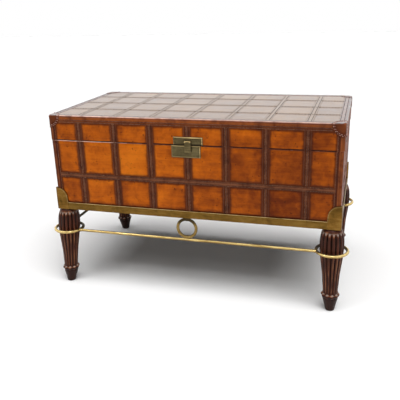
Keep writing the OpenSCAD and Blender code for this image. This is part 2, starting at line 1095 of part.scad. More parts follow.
module hinge_right_body_leaf() {
  hinge_leaf(1, -1, body_face, 0, pin_radius);
}

module hinge_left_lid_leaf() {
  hinge_leaf(-1, 1, lid_face, 1, pin_radius + pin_clearance);
}

module hinge_right_lid_leaf() {
  hinge_leaf(1, 1, lid_face, 1, pin_radius + pin_clearance);
}

module hinge_pins() {
  color("#b8b8b4")
    for (sx = [-1, 1])
      translate([sx * hinge_x, hinge_y, seam_height])
        rotate([0, 90, 0])
          cylinder(r = pin_radius, h = hinge_length, center = true);
}

// Draws the chosen pieces
leg_front_left();
leg_front_right();
leg_back_left();
leg_back_right();
rail_front();
rail_back();
rail_left();
rail_right();
corner_plate_front_left();
corner_plate_front_right();
corner_plate_back_left();
corner_plate_back_right();
hoop_front_left();
hoop_front_right();
hoop_back_left();
hoop_back_right();
rod_front();
rod_back();
rod_left();
rod_right();
ring_front();
ring_back();
leg_bolts();
leg_nuts();
body_board_bottom();
body_board_front();
body_board_back();
body_board_left();
body_board_right();
body_leather();
body_corner_bindings();
body_straps_upright();
body_strap_girth();
body_lining();
lid_board_top();
lid_board_front();
lid_board_back();
lid_board_left();
lid_board_right();
lid_leather();
lid_rim_band();
lid_caps_front();
lid_caps_back();
lid_straps_wall();
lid_straps_across();
lid_straps_lengthwise();
lid_lining();
latch_plate_lid();
latch_plate_body();
latch_tongue();
latch_pin();
latch_nails_lid();
latch_nails_body();
hinge_left_body_leaf();
hinge_left_lid_leaf();
hinge_right_body_leaf();
hinge_right_lid_leaf();
hinge_pins();
hinge_screws_body();
hinge_screws_lid();
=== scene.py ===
"""Dresses the leather trunk and its stand: leather, stitching, brasswork, legs and studio.

Lengths in the classes are millimetres in the part's own frame: the floor is z = 0, the front
faces -Y and X runs along the trunk. Meshes are made in metres.
"""

from __future__ import annotations

import json
import logging
import math
from contextlib import contextmanager
from dataclasses import dataclass
from enum import Enum
from typing import Callable, Iterator, Sequence

import bmesh
import bpy
import numpy as np
from mathutils import Matrix, Vector


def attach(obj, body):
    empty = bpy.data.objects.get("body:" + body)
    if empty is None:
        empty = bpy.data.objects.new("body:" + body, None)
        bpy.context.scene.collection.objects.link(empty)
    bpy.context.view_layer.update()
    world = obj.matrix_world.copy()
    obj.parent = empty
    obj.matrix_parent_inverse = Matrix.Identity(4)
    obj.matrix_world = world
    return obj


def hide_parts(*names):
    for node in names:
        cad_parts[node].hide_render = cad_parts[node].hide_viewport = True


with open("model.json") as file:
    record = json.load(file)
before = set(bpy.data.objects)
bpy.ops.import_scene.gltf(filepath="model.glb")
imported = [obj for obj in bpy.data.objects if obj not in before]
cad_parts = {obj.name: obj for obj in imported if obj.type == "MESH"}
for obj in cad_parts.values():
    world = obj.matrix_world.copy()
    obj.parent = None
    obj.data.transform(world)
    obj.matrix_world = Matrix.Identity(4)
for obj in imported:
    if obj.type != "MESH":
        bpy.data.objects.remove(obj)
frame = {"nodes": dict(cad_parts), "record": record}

LOG = logging.getLogger("trunk")
MM = 0.001
Array = np.ndarray
Colour = tuple[float, float, float]


def srgb(red: int, green: int, blue: int) -> Colour:
    """Turns a colour as the eye reads it (0 to 255) into the linear values shaders use."""
    def linear(value: float) -> float:
        """One channel."""
        value /= 255.0
        return value / 12.92 if value <= 0.04045 else ((value + 0.055) / 1.055) ** 2.4
    return linear(red), linear(green), linear(blue)


def ease(value: Array | float, low: float, high: float) -> Array:
    """Returns a share that rises smoothly from 0 where value is low to 1 where it is high."""
    share = np.clip((np.asarray(value, float) - low) / (high - low), 0.0, 1.0)
    return share * share * (3.0 - 2.0 * share)


def put(name: str, data: bpy.types.ID) -> bpy.types.Object:
    """Makes an object of a mesh, camera or lamp and returns it, linked to the scene."""
    made = bpy.data.objects.new(name, data)
    bpy.context.scene.collection.objects.link(made)
    return made


class Carrier(Enum):
    """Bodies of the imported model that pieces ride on."""

    STAND = "stand_and_body"
    LID = "lid"
    TONGUE = "tongue"


class Finish(Enum):
    """Material slots of the part."""

    LEG_WOOD = "leg_wood"
    RAIL_BRASS = "rail_brass"
    PLATE_BRASS = "plate_brass"
    ROD_BRASS = "rod_brass"
    STEEL = "steel"
    BOARD_WOOD = "board_wood"
    PANEL_LEATHER = "panel_leather"
    LINING_CLOTH = "lining_cloth"
    STRAP_LEATHER = "strap_leather"
    BINDING_LEATHER = "binding_leather"
    LATCH_BRASS = "latch_brass"
    HINGE_BRASS = "hinge_brass"


# Node trees


class Tree:
    """A node tree that is written as short calls."""

    def __init__(self, tree: bpy.types.NodeTree) -> None:
        """Takes a tree and empties it."""
        self.tree = tree
        tree.nodes.clear()

    def node(self, kind: str, feeds: dict[str | int, object] | None = None,
             **settings: object) -> bpy.types.Node:
        """Adds a node.

        Args:
            kind: Blender's name of the node type.
            feeds: Values or sockets for its inputs, by name or number.
            settings: Properties of the node.

        Returns:
            The new node.
        """
        made = self.tree.nodes.new(kind)
        for key, value in settings.items():
            setattr(made, key, value)
        for key, value in (feeds or {}).items():
            self.feed(made.inputs[key], value)
        return made

    def feed(self, socket: bpy.types.NodeSocket, value: object) -> None:
        """Links a socket into an input, or sets the input to a plain value."""
        if isinstance(value, bpy.types.NodeSocket):
            self.tree.links.new(value, socket)
        else:
            socket.default_value = value

    def sum(self, operation: str, first: object, second: object = 0.0,
            third: object = 0.0) -> bpy.types.NodeSocket:
        """Adds one step of arithmetic and returns its result."""
        return self.node("ShaderNodeMath", {0: first, 1: second, 2: third},
                         operation=operation).outputs[0]

    def weigh(self, value: object, weight: object, more: object) -> bpy.types.NodeSocket:
        """Returns value times weight, plus more."""
        return self.sum("MULTIPLY_ADD", value, weight, more)

    def times(self, first: object, *others: object) -> bpy.types.NodeSocket:
        """Multiplies its values and returns the result."""
        for other in others:
            first = self.sum("MULTIPLY", first, other)
        return first

    def vector(self, x: object, y: object, z: object) -> bpy.types.NodeSocket:
        """Joins three values into a vector and returns it."""
        return self.node("ShaderNodeCombineXYZ", {"X": x, "Y": y, "Z": z}).outputs[0]

    def band(self, value: object, low: float, high: float, start: float = 0.0,
             end: float = 1.0) -> bpy.types.NodeSocket:
        """Maps low to high smoothly onto start to end and returns the result."""
        return self.node("ShaderNodeMapRange", {
            "Value": value, "From Min": low, "From Max": high, "To Min": start, "To Max": end,
        }, interpolation_type="SMOOTHSTEP").outputs[0]


class Surface(Tree):
    """The node tree of one material, read in the object's own coordinates."""

    def __init__(self, name: str) -> None:
        """Starts a material of that name."""
        self.material = bpy.data.materials.new(name)
        self.material.use_nodes = True
        super().__init__(self.material.node_tree)
        self.place = self.node("ShaderNodeTexCoord").outputs["Object"]

    def stretched(self, scale: Sequence[float]) -> bpy.types.NodeSocket:
        """Returns the object's coordinates, scaled."""
        return self.node("ShaderNodeMapping", {
            "Vector": self.place, "Scale": scale}).outputs[0]

    def noise(self, scale: float, detail: float, rough: float = 0.55, twist: float = 0.0,
              place: bpy.types.NodeSocket | None = None) -> bpy.types.NodeSocket:
        """Returns a cloudy value between 0 and 1.

        Args:
            scale: Clouds in a metre.
            detail: Number of finer layers.
            rough: Weight of the finer layers.
            twist: How far the clouds are drawn out of shape.
            place: Coordinates to read, the object's own if left out.
        """
        return self.node("ShaderNodeTexNoise", {
            "Vector": place or self.place, "Scale": scale, "Detail": detail,
            "Roughness": rough, "Distortion": twist}).outputs["Fac"]

    def cells(self, scale: float) -> bpy.types.NodeSocket:
        """Returns the distance to cell points, as in the grain of leather."""
        return self.node("ShaderNodeTexVoronoi", {
            "Vector": self.place, "Scale": scale}).outputs["Distance"]

    def ramp(self, value: object, stops: Sequence[tuple[float, Colour]]) -> bpy.types.NodeSocket:
        """Returns the colour that a value has on a list of stops."""
        made = self.node("ShaderNodeValToRGB", {"Fac": value})
        line = made.color_ramp
        while len(line.elements) < len(stops):
            line.elements.new(0.5)
        for element, (where, colour) in zip(line.elements, sorted(stops)):
            element.position = where
            element.color = (*colour, 1.0)
        return made.outputs["Color"]

    def blend(self, share: object, first: object, second: object) -> bpy.types.NodeSocket:
        """Mixes two colours, sockets or plain, and returns the result."""
        made = self.node("ShaderNodeMix", {0: share}, data_type="RGBA", clamp_factor=True)
        for socket, value in ((made.inputs[6], first), (made.inputs[7], second)):
            self.feed(socket, (*value, 1.0) if isinstance(value, tuple) else value)
        return made.outputs[2]

    def mark(self, name: str) -> bpy.types.NodeSocket:
        """Returns a number that the mesh carries at each point."""
        return self.node("ShaderNodeAttribute", attribute_name=name).outputs["Fac"]

    def bump(self, height: object, strength: float, depth: float) -> bpy.types.NodeSocket:
        """Returns a normal roughened by a height."""
        return self.node("ShaderNodeBump", {
            "Height": height, "Strength": strength, "Distance": depth}).outputs[0]

    def close(self, colour: object, roughness: object, normal: object = None,
              **constants: object) -> bpy.types.Material:
        """Joins everything in the shader and returns the material.

        Args:
            colour: Base colour, a socket or plain.
            roughness: Roughness, a socket or a number.
            normal: Bumped normal.
            constants: Plain values of the shader's own sockets, by name.
        """
        shader = self.node("ShaderNodeBsdfPrincipled", {"Roughness": roughness})
        self.feed(shader.inputs["Base Color"],
                  (*colour, 1.0) if isinstance(colour, tuple) else colour)
        if normal is not None:
            self.feed(shader.inputs["Normal"], normal)
        for key, value in constants.items():
            shader.inputs[key.replace("_", " ")].default_value = value
        self.node("ShaderNodeOutputMaterial", {"Surface": shader.outputs[0]})
        return self.material


class Pattern(Tree):
    """A Geometry Nodes tree with named inputs, run once into a plain mesh."""

    KINDS = {float: "NodeSocketFloat", int: "NodeSocketInt", bpy.types.Material:
             "NodeSocketMaterial"}

    def __init__(self, name: str, **inputs: type) -> None:
        """Starts a tree with a geometry input and the named ones."""
        super().__init__(bpy.data.node_groups.new(name, "GeometryNodeTree"))
        face = self.tree.interface
        face.new_socket("Geometry", in_out="INPUT", socket_type="NodeSocketGeometry")
        self.keys = {}
        for key, kind in inputs.items():
            socket = face.new_socket(key, in_out="INPUT", socket_type=self.KINDS[kind])
            self.keys[key] = socket.identifier
        face.new_socket("Geometry", in_out="OUTPUT", socket_type="NodeSocketGeometry")
        self.inputs = self.node("NodeGroupInput").outputs

    def end(self, geometry: bpy.types.NodeSocket) -> None:
        """Ends the tree in plain, smooth, finished geometry."""
        plain = self.node("GeometryNodeRealizeInstances", {"Geometry": geometry}).outputs[0]
        smooth = self.node("GeometryNodeSetShadeSmooth", {"Geometry": plain}).outputs[0]
        dressed = self.node("GeometryNodeSetMaterial", {
            "Geometry": smooth, "Material": self.inputs["material"]}).outputs[0]
        self.node("NodeGroupOutput", {"Geometry": dressed})

    def run(self, name: str, source: bpy.types.Mesh, **values: object) -> bpy.types.Mesh:
        """Runs the tree on a mesh.

        Args:
            name: Name of the new mesh.
            source: Mesh that the tree starts from.
            values: Values of the named inputs.

        Returns:
            The evaluated, plain mesh.
        """
        holder = put(name + "_source", source)
        rule = holder.modifiers.new("rule", "NODES")
        rule.node_group = self.tree
        for key, value in values.items():
            rule[self.keys[key]] = value
        graph = bpy.context.evaluated_depsgraph_get()
        made = bpy.data.meshes.new_from_object(holder.evaluated_get(graph))
        holder.modifiers.clear()
        bpy.data.objects.remove(holder)
        made.name = name
        return made


# Finishes


@dataclass(frozen=True)
class PanelLeather:
    """Waxed panel leather: clouded, brushed along the trunk, burnt dark beside the straps."""

    name: str = "panel leather"
    dark: Colour = srgb(100, 39, 4)
    middle: Colour = srgb(148, 68, 6)
    warm: Colour = srgb(183, 89, 8)
    light: Colour = srgb(210, 111, 15)
    burnt: Colour = srgb(72, 32, 16)
    speck: Colour = srgb(46, 20, 8)
    seam: Colour = srgb(22, 10, 7)
    roughness: float = 0.36
    shine: float = 0.07
    coat: float = 0.02

    def make(self) -> bpy.types.Material:
        """Returns the material. It reads tone, 0 beside a strap, and a second mark: each panel's
        own random tone plus painted shade.
        """
        s = Surface(self.name)
        cloud = s.noise(8.0, 6.0, 0.62, 0.4)
        mottle = s.noise(34.0, 5.0, 0.6, 0.8)
        brushed = s.noise(95.0, 3.0, 0.6, 0.2, s.stretched((0.10, 1.0, 1.0)))
        fine = s.noise(240.0, 3.0, 0.7)
        value = s.weigh(cloud, 0.80, s.times(mottle, 0.42))
        value = s.weigh(brushed, 0.34, value)
        # The second mark moves the colour along the ramp: random per panel, plus painted shade
        # towards the right end.
        value = s.weigh(s.mark("hide_and_shade"), 0.42, s.sum("SUBTRACT", value, 0.495))
        colour = s.ramp(value, ((0.22, self.dark), (0.42, self.middle), (0.58, self.warm),
                                (0.80, self.light)))
        edge = s.sum("ADD", s.mark("tone"), s.times(s.sum("SUBTRACT", mottle, 0.5), 0.75))
        colour = s.blend(s.band(edge, 0.02, 0.80, 0.80, 0.0), colour, self.burnt)
        smudge = s.times(s.band(s.noise(27.0, 4.0, 0.65, 1.2), 0.56, 0.72), 0.36)
        colour = s.blend(smudge, colour, self.dark)
        spots = s.band(s.noise(120.0, 1.0, 0.5), 0.69, 0.76)
        colour = s.blend(s.times(spots, 0.6), colour, self.speck)
        scuff = s.band(s.noise(60.0, 2.0, 0.6, 0.8), 0.74, 0.80)
        colour = s.blend(s.times(scuff, 0.6), colour, self.speck)
        colour = s.blend(s.band(s.mark("tone"), -0.45, -0.05, 0.92, 0.0), colour, self.seam)
        gloss = s.weigh(mottle, 0.22, self.roughness - 0.11)
        grain = s.weigh(s.cells(620.0), 0.6, s.times(fine, 0.7))
        normal = s.bump(s.weigh(cloud, 3.0, grain), 0.22, 0.0005)
        return s.close(colour, gloss, normal, IOR=1.5, Specular_IOR_Level=self.shine,
                       Coat_Weight=self.coat, Coat_Roughness=0.2)


@dataclass(frozen=True)
class StrapLeather:
    """Thick strap leather, lighter where its tone is raised: worn on the straps, a painted
    highlight on the crown beads and the seam welt.
    """

    deep: Colour
    body: Colour
    worn_and_lit: Colour
    name: str
    roughness: float = 0.42
    shine: float = 0.2
    coat: float = 0.05

    def make(self) -> bpy.types.Material:
        """Returns the material. It reads tone, 1 where lightest, and a second mark, 0 where
        darkened, partly as painted shade.
        """
        s = Surface(self.name)
        cloud = s.noise(30.0, 5.0, 0.6, 0.5)
        fine = s.noise(320.0, 3.0, 0.65)
        colour = s.ramp(s.weigh(fine, 0.25, s.times(cloud, 0.8)),
                        ((0.30, self.deep), (0.62, self.body)))
        # The second mark darkens towards the deep colour; on the rim this is painted shade towards
        # the right end.
        colour = s.blend(s.band(s.mark("hide_and_shade"), 0.05, 0.45, 0.9, 0.0), colour, self.deep)
        # Tone lightens towards the worn colour, which in the crown binding is a painted highlight.
        rub_glint = s.times(s.mark("tone"), s.band(cloud, 0.30, 0.62, 0.35, 1.0))
        colour = s.blend(rub_glint, colour, self.worn_and_lit)
        gloss = s.weigh(cloud, 0.2, self.roughness - 0.1)
        grain = s.weigh(s.cells(820.0), 0.7, fine)
        normal = s.bump(grain, 0.25, 0.0004)
        return s.close(colour, gloss, normal, IOR=1.5, Specular_IOR_Level=self.shine,
                       Coat_Weight=self.coat, Coat_Roughness=0.22)


@dataclass(frozen=True)
class AgedBrass:
    """Brass with a brown-green skin in the hollows, lighter where rubbed and where a highlight is
    painted, and dark where shade is painted.
    """

    skin: Colour
    metal: Colour
    bright: Colour
    name: str
    # The first colour below is rubbed brass and painted highlight, the second is painted shade.
    rub_and_highlight: Colour = srgb(214, 184, 128)
    dulled_and_shaded: Colour = srgb(44, 38, 28)
    roughness: float = 0.36
    hammer: float = 0.12
    spotted: float = 0.5

    def make(self) -> bpy.types.Material:
        """Returns the material. It reads tone, 1 where painted bright as rubbed brass and
        highlight, and its second mark, 1 where painted dull as shade.
        """
        s = Surface(self.name)
        cloud = s.noise(22.0, 6.0, 0.65, 0.6)
        brushed = s.noise(180.0, 3.0, 0.6, 0.0, s.stretched((0.12, 1.0, 1.0)))
        spots = s.noise(140.0, 2.0, 0.6)
        value = s.weigh(brushed, 0.35, s.times(cloud, 0.75))
        colour = s.ramp(value, ((0.36, self.skin), (0.55, self.metal), (0.74, self.bright)))
        colour = s.blend(s.times(s.band(spots, 0.66, 0.74), self.spotted), colour, self.skin)
        # Painted highlight: tone blends the metal towards the bright rubbed colour.
        rub_glint = s.times(s.mark("tone"), s.band(brushed, 0.34, 0.60, 0.25, 0.95))
        colour = s.blend(rub_glint, colour, self.rub_and_highlight)
        # Painted shade: the second mark blends the metal towards the dark dull colour.
        dull_and_shade = s.band(s.mark("hide_and_shade"), 0.55, 1.0, 0.0, 0.92)
        colour = s.blend(dull_and_shade, colour, self.dulled_and_shaded)
        gloss = s.weigh(cloud, 0.30, self.roughness - 0.13)
        gloss = s.weigh(dull_and_shade, 0.3, gloss)
        normal = s.bump(s.weigh(cloud, 1.5, brushed), self.hammer, 0.0006)
        return s.close(colour, gloss, normal, Metallic=1.0)


@dataclass(frozen=True)
class ReededWood:
    """Dark polished timber: near black in the reed valleys as painted shade, lighter on the crests
    by wear and painted highlight.
    """

    dark: Colour = srgb(14, 6, 4)
    body: Colour = srgb(80, 37, 20)
    crest: Colour = srgb(158, 103, 66)
    gleam: Colour = srgb(164, 150, 140)

    def make(self) -> bpy.types.Material:
        """Returns the material. It reads tone: 0 in a valley, 1 on a crest, more where a painted
        highlight goes on the shoulder and the collar.
        """
        s = Surface("leg wood")
        grain = s.noise(190.0, 4.0, 0.6, 0.3, s.stretched((1.0, 1.0, 0.07)))
        cloud = s.noise(26.0, 4.0, 0.6)
        tone = s.mark("tone")
        # Painted shade: low tone in the valleys gives the dark colour.
        colour = s.blend(s.band(tone, 0.15, 0.85), self.dark, self.body)
        worn_and_lit = s.times(s.band(tone, 0.86, 0.99),
                       s.band(s.weigh(cloud, 0.5, s.times(grain, 0.5)), 0.38, 0.68))
        colour = s.blend(s.times(worn_and_lit, 0.8), colour, self.crest)
        colour = s.blend(s.band(grain, 0.40, 0.62, 0.45, 0.0), colour, self.dark)
        # Painted highlight: tone above 1 blends towards the pale gleam colour.
        colour = s.blend(s.band(tone, 1.05, 1.45, 0.0, 0.7), colour, self.gleam)
        gloss = s.weigh(grain, 0.22, 0.26)
        normal = s.bump(grain, 0.18, 0.0004)
        return s.close(colour, gloss, normal, IOR=1.5, Specular_IOR_Level=0.14,
                       Coat_Weight=0.04, Coat_Roughness=0.1)


@dataclass(frozen=True)
class BoardWood:
    """Plain stained boards under the coverings."""

    early: Colour = srgb(60, 52, 46)
    late: Colour = srgb(40, 34, 30)

    def make(self) -> bpy.types.Material:
        """Returns the material."""
        s = Surface("board wood")
        rings = s.noise(60.0, 5.0, 0.6, 1.2, s.stretched((0.06, 1.0, 1.0)))
        fibre = s.noise(420.0, 2.0, 0.6, 0.0, s.stretched((0.05, 1.0, 1.0)))
        value = s.weigh(fibre, 0.3, s.times(rings, 0.8))
        colour = s.ramp(value, ((0.38, self.late), (0.62, self.early)))
        return s.close(colour, 0.62, s.bump(value, 0.25, 0.0005))


@dataclass(frozen=True)
class LiningCloth:
    """Plain woven cotton glued inside the trunk."""

    warp: Colour = srgb(122, 98, 70)
    weft: Colour = srgb(156, 130, 98)

    def make(self) -> bpy.types.Material:
        """Returns the material: threads cross every 0.8 mm on all three pairs of axes."""
        s = Surface("lining cloth")
        parts = s.node("ShaderNodeSeparateXYZ", {"Vector": s.place}).outputs
        waves = [s.sum("SINE", s.times(parts[i], 2 * math.pi / 0.0016)) for i in range(3)]
        weave = s.times(*(s.sum("ADD", wave, 1.3) for wave in waves))
        cloud = s.noise(14.0, 5.0, 0.6)
        slub = s.noise(260.0, 3.0, 0.7)
        value = s.weigh(weave, 0.05, s.times(cloud, 0.6))
        value = s.weigh(slub, 0.3, value)
        colour = s.ramp(value, ((0.35, self.warp), (0.75, self.weft)))
        normal = s.bump(s.sum("ADD", weave, slub), 0.35, 0.0003)
        return s.close(colour, 0.88, normal, Sheen_Weight=0.25, Sheen_Roughness=0.6)


@dataclass(frozen=True)
class Thread:
    """Waxed linen thread."""

    name: str = "thread"
    light: Colour = srgb(160, 118, 90)
    dark: Colour = srgb(86, 52, 36)
    shine: float = 0.5

    def make(self) -> bpy.types.Material:
        """Returns the material."""
        s = Surface(self.name)
        colour = s.ramp(s.noise(120.0, 2.0, 0.5), ((0.35, self.dark), (0.65, self.light)))
        return s.close(colour, 0.55, s.bump(s.noise(1600.0, 2.0), 0.4, 0.0002),
                       Specular_IOR_Level=self.shine)


@dataclass(frozen=True)
class Steel:
    """Plain turned steel."""

    def make(self) -> bpy.types.Material:
        """Returns the material."""
        s = Surface("steel")
        cloud = s.noise(60.0, 4.0, 0.6)
        colour = s.ramp(cloud, ((0.35, srgb(120, 118, 112)), (0.7, srgb(188, 186, 180))))
        return s.close(colour, s.weigh(cloud, 0.3, 0.2), Metallic=1.0)


class Palette:
    """All the finishes of the part, made once."""

    def __init__(self) -> None:
        """Makes each material."""
        rail = AgedBrass(srgb(78, 57, 24), srgb(110, 82, 36), srgb(130, 100, 48), "rail brass")
        plate = AgedBrass(srgb(80, 58, 22), srgb(116, 84, 36), srgb(142, 108, 54),
                          "plate brass", roughness=0.38)
        # The pale rubbed colours of the rods and the latch are painted highlights.
        rod = AgedBrass(srgb(120, 92, 46), srgb(168, 138, 78), srgb(206, 180, 118),
                        "rod brass", srgb(244, 218, 152), roughness=0.19, hammer=0.08,
                        spotted=0.0)
        latch = AgedBrass(srgb(58, 50, 33), srgb(88, 78, 53), srgb(116, 104, 72),
                          "latch brass", srgb(250, 218, 150), roughness=0.34, hammer=0.2)
        hinge = AgedBrass(srgb(92, 70, 32), srgb(136, 108, 54), srgb(168, 138, 80),
                          "hinge brass", roughness=0.34)
        strap = StrapLeather(srgb(50, 21, 13), srgb(90, 45, 24), srgb(136, 88, 62),
                             "strap leather", shine=0.06, coat=0.02)
        binding = StrapLeather(srgb(64, 26, 13), srgb(140, 68, 21), srgb(184, 104, 52),
                               "binding leather", 0.30, 0.09, 0.02)
        self.made = {
            Finish.LEG_WOOD: ReededWood().make(),
            Finish.RAIL_BRASS: rail.make(),
            Finish.PLATE_BRASS: plate.make(),
            Finish.ROD_BRASS: rod.make(),
            Finish.STEEL: Steel().make(),
            Finish.BOARD_WOOD: BoardWood().make(),
            Finish.PANEL_LEATHER: PanelLeather().make(),
            Finish.LINING_CLOTH: LiningCloth().make(),
            Finish.STRAP_LEATHER: strap.make(),
            Finish.BINDING_LEATHER: binding.make(),
            Finish.LATCH_BRASS: latch.make(),
            Finish.HINGE_BRASS: hinge.make(),
        }
        self.thread = Thread().make()
        # The top thread and the pale thread are darker copies of the same thread, used on the lid's
        # top: painted shade in its stitch rows.
        self.top_thread = Thread("top thread", srgb(34, 26, 22), srgb(16, 11, 10), 0.1).make()
        self.pale_thread = Thread("pale thread", srgb(118, 94, 72), srgb(88, 66, 50)).make()
        self.cap_thread = Thread("cap thread", srgb(236, 186, 170), srgb(176, 120, 104)).make()
        # The top's panel, strap and binding leathers are copies in duller colours than on the
        # walls, with the top straps far paler than the wall straps: a painted reflection that makes
        # the glossy top read evenly pale.
        self.top_panel = PanelLeather(
            "polished panel leather", srgb(94, 58, 26), srgb(114, 76, 32), srgb(130, 90, 38),
            srgb(146, 104, 46), srgb(92, 60, 32), seam=srgb(58, 38, 24), roughness=0.32,
            shine=0.5, coat=0.84).make()
        self.top_strap = StrapLeather(srgb(98, 64, 30), srgb(120, 82, 36), srgb(134, 96, 46),
                                      "polished strap leather", 0.32, 0.5, 0.80).make()
        self.top_binding = StrapLeather(binding.deep, srgb(108, 62, 40), srgb(140, 88, 60),
                                        "polished binding leather", 0.28, 0.5, 0.85).make()
        # The crown binding's worn colour, a pale pink, is a painted highlight that tone puts on the
        # seam welt and the front bead.
        self.crown_binding = StrapLeather(binding.deep, srgb(128, 62, 26), srgb(244, 204, 186),
                                          "crown binding leather", 0.26, 0.2, 0.12).make()

    def __getitem__(self, finish: Finish) -> bpy.types.Material:
        """Returns the material of a slot."""
        return self.made[finish]

    def lay(self, name: str, shell: Shell, finish: Finish, carrier: Carrier,
            nodes: Sequence[str] = (), special: bpy.types.Material | None = None,
            crease: float = 38.0) -> None:
        """Settles a shell as a piece, in the finish of its slot or in a special one of it."""
        settle(name, shell.mesh(name), special or self.made[finish], carrier, nodes,
               crease)

    def dress_frame(self) -> None:
        """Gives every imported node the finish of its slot."""
        for row in frame["record"]["subparts"]:
            mesh = frame["nodes"][row["node"]].data
            mesh.materials.clear()
            mesh.materials.append(self.made[Finish(row["material_slot"])])


# Shapes


@dataclass(frozen=True)
class Station:
    """One place along a swept piece: where it is, the way across it and the way out of it."""

    at: Array
    across: Array
    out: Array


def settle(name: str, mesh: bpy.types.Mesh, material: bpy.types.Material,
           carrier: Carrier, nodes: Sequence[str] = (), crease: float = 38.0) -> None:
    """Makes a finished object of a mesh that is in place, and puts it on its body.

    Args:
        name: Name of the piece.
        mesh: Closed mesh in metres.
        material: Its material.
        carrier: Body that it rides on.
        nodes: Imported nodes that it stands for.
        crease: Angle in degrees above which an edge stays sharp.
    """
    mesh.name = name
    mesh.materials.clear()
    mesh.materials.append(material)
    mesh.shade_smooth()
    mesh.set_sharp_from_angle(angle=math.radians(crease))
    made = put(name, mesh)
    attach(made, carrier.value)
    if nodes:
        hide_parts(*nodes)
    LOG.info("%s: %d points, %d faces", name, len(mesh.vertices), len(mesh.polygons))


@contextmanager
def opened(mesh: bpy.types.Mesh) -> Iterator[bmesh.types.BMesh]:
    """Opens a mesh for edits and closes it with its faces turned outwards."""
    work = bmesh.new()
    work.from_mesh(mesh)
    yield work
    bmesh.ops.recalc_face_normals(work, faces=work.faces)
    work.to_mesh(mesh)
    work.free()


class Shell:
    """Gathers closed solids in millimetres into one mesh."""

    def __init__(self) -> None:
        """Starts empty."""
        self.points: list[Array] = []
        self.faces: list[tuple[int, ...]] = []
        self.marks: dict[str, list[Array]] = {"tone": [], "hide_and_shade": []}
        self.count = 0

    def _take(self, points: Array, tone: Array | float, hide_and_shade: Array | float) -> int:
        """Stores points with their marks and returns the number of the first one."""
        rows = np.asarray(points, float).reshape(-1, 3)
        first = self.count
        self.points.append(rows)
        for key, value in (("tone", tone), ("hide_and_shade", hide_and_shade)):
            self.marks[key].append(np.broadcast_to(np.asarray(value, float).reshape(-1),
                                                   len(rows)).copy())
        self.count += len(rows)
        return first

    def patch(self, outer: Array, inner: Array, tone: Array | float = 0.0,
              hide_and_shade: Array | float = 0.5, wrap: bool = False,
              keep: Array | None = None) -> None:
        """Adds the solid between two grids of points.

        Args:
            outer: Shown side, rows by columns by 3.
            inner: Hidden side, as many points.
            tone: Mark at each point, or one for all.
            hide_and_shade: Second mark.
            wrap: Whether the last row meets the first.
            keep: Cells that are there, rows by columns, all if left out.
        """
        rows, columns = outer.shape[:2]
        tones = np.broadcast_to(np.asarray(tone, float), (rows, columns))
        hide_and_shades = np.broadcast_to(np.asarray(hide_and_shade, float), (rows, columns))
        first = self._take(np.stack([outer, inner]), np.stack([tones, tones]),
                           np.stack([hide_and_shades, hide_and_shades]))
        depth = rows * columns
        border: dict[tuple[int, int], bool] = {}
        for i in range(rows if wrap else rows - 1):
            for j in range(columns - 1):
                if keep is not None and not keep[i, j]:
                    continue
                k = (i + 1) % rows
                ring = [first + i * columns + j, first + k * columns + j,
                        first + k * columns + j + 1, first + i * columns + j + 1]
                self.faces.append(tuple(ring))
                self.faces.append(tuple(v + depth for v in reversed(ring)))
                for a, b in zip(ring, ring[1:] + ring[:1]):
                    if (b, a) in border:
                        del border[(b, a)]
                    else:
                        border[(a, b)] = True
        for a, b in border:
            self.faces.append((b, a, a + depth, b + depth))

    def sweep(self, section: Array, stations: Sequence[Station], closed: bool = False,
              tone: Array | float = 0.0, hide_and_shade: Array | float = 0.5) -> None:
        """Carries a closed section along stations.

        Args:
            section: Loop of (across, out) points.
            stations: Where it goes.
            closed: Whether the last station meets the first.
            tone: Mark of each point of the section.
            hide_and_shade: Second mark, the same way.
        """
        size, length = len(section), len(stations)
        grid = np.array([s.at + np.outer(section[:, 0], s.across) + np.outer(section[:, 1], s.out)
                         for s in stations])
        marks = [np.broadcast_to(np.asarray(m, float), (length, size)) for m in (tone, hide_and_shade)]
        first = self._take(grid, *marks)
        for i in range(length if closed else length - 1):
            k = (i + 1) % length
            for j in range(size):
                n = (j + 1) % size
                self.faces.append((first + i * size + j, first + k * size + j,
                                   first + k * size + n, first + i * size + n))
        if not closed:
            self.faces.append(tuple(first + j for j in range(size)))
            self.faces.append(tuple(first + (length - 1) * size + j
                                    for j in reversed(range(size))))

    def mesh(self, name: str) -> bpy.types.Mesh:
        """Returns the closed mesh in metres, its faces turned outwards."""
        made = bpy.data.meshes.new(name)
        made.from_pydata((np.concatenate(self.points) * MM).tolist(), [], self.faces)
        for key, parts in self.marks.items():
            layer = made.attributes.new(key, "FLOAT", "POINT")
            layer.data.foreach_set("value", np.concatenate(parts).astype(np.float32))
        with opened(made) as work:
            bmesh.ops.delete(work, geom=[v for v in work.verts if not v.link_faces],
                             context="VERTS")
            bmesh.ops.remove_doubles(work, verts=work.verts, dist=1e-7)
            bmesh.ops.dissolve_degenerate(work, edges=work.edges, dist=1e-7)
        return made


def bevelled_copy(node: str, width: float, steps: int = 2) -> bpy.types.Mesh:
    """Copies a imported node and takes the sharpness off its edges.

    Args:
        node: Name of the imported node.
        width: Width of the bevel.
        steps: Number of faces across the bevel.

    Returns:
        A merged and bevelled mesh in metres.
    """
    made = frame["nodes"][node].data.copy()
    flat_enough, sharp_from = math.radians(0.6), math.radians(32.0)
    with opened(made) as work:
        bmesh.ops.remove_doubles(work, verts=work.verts, dist=2e-6)
        bmesh.ops.dissolve_limit(work, angle_limit=flat_enough, verts=work.verts,
                                 edges=work.edges)
        sharp = [e for e in work.edges if len(e.link_faces) == 2
                 and e.calc_face_angle(0.0) > sharp_from]
        bmesh.ops.bevel(work, geom=sharp, offset=width * MM, offset_type="OFFSET",
                        segments=steps, profile=0.5, affect="EDGES", clamp_overlap=True)
    return made


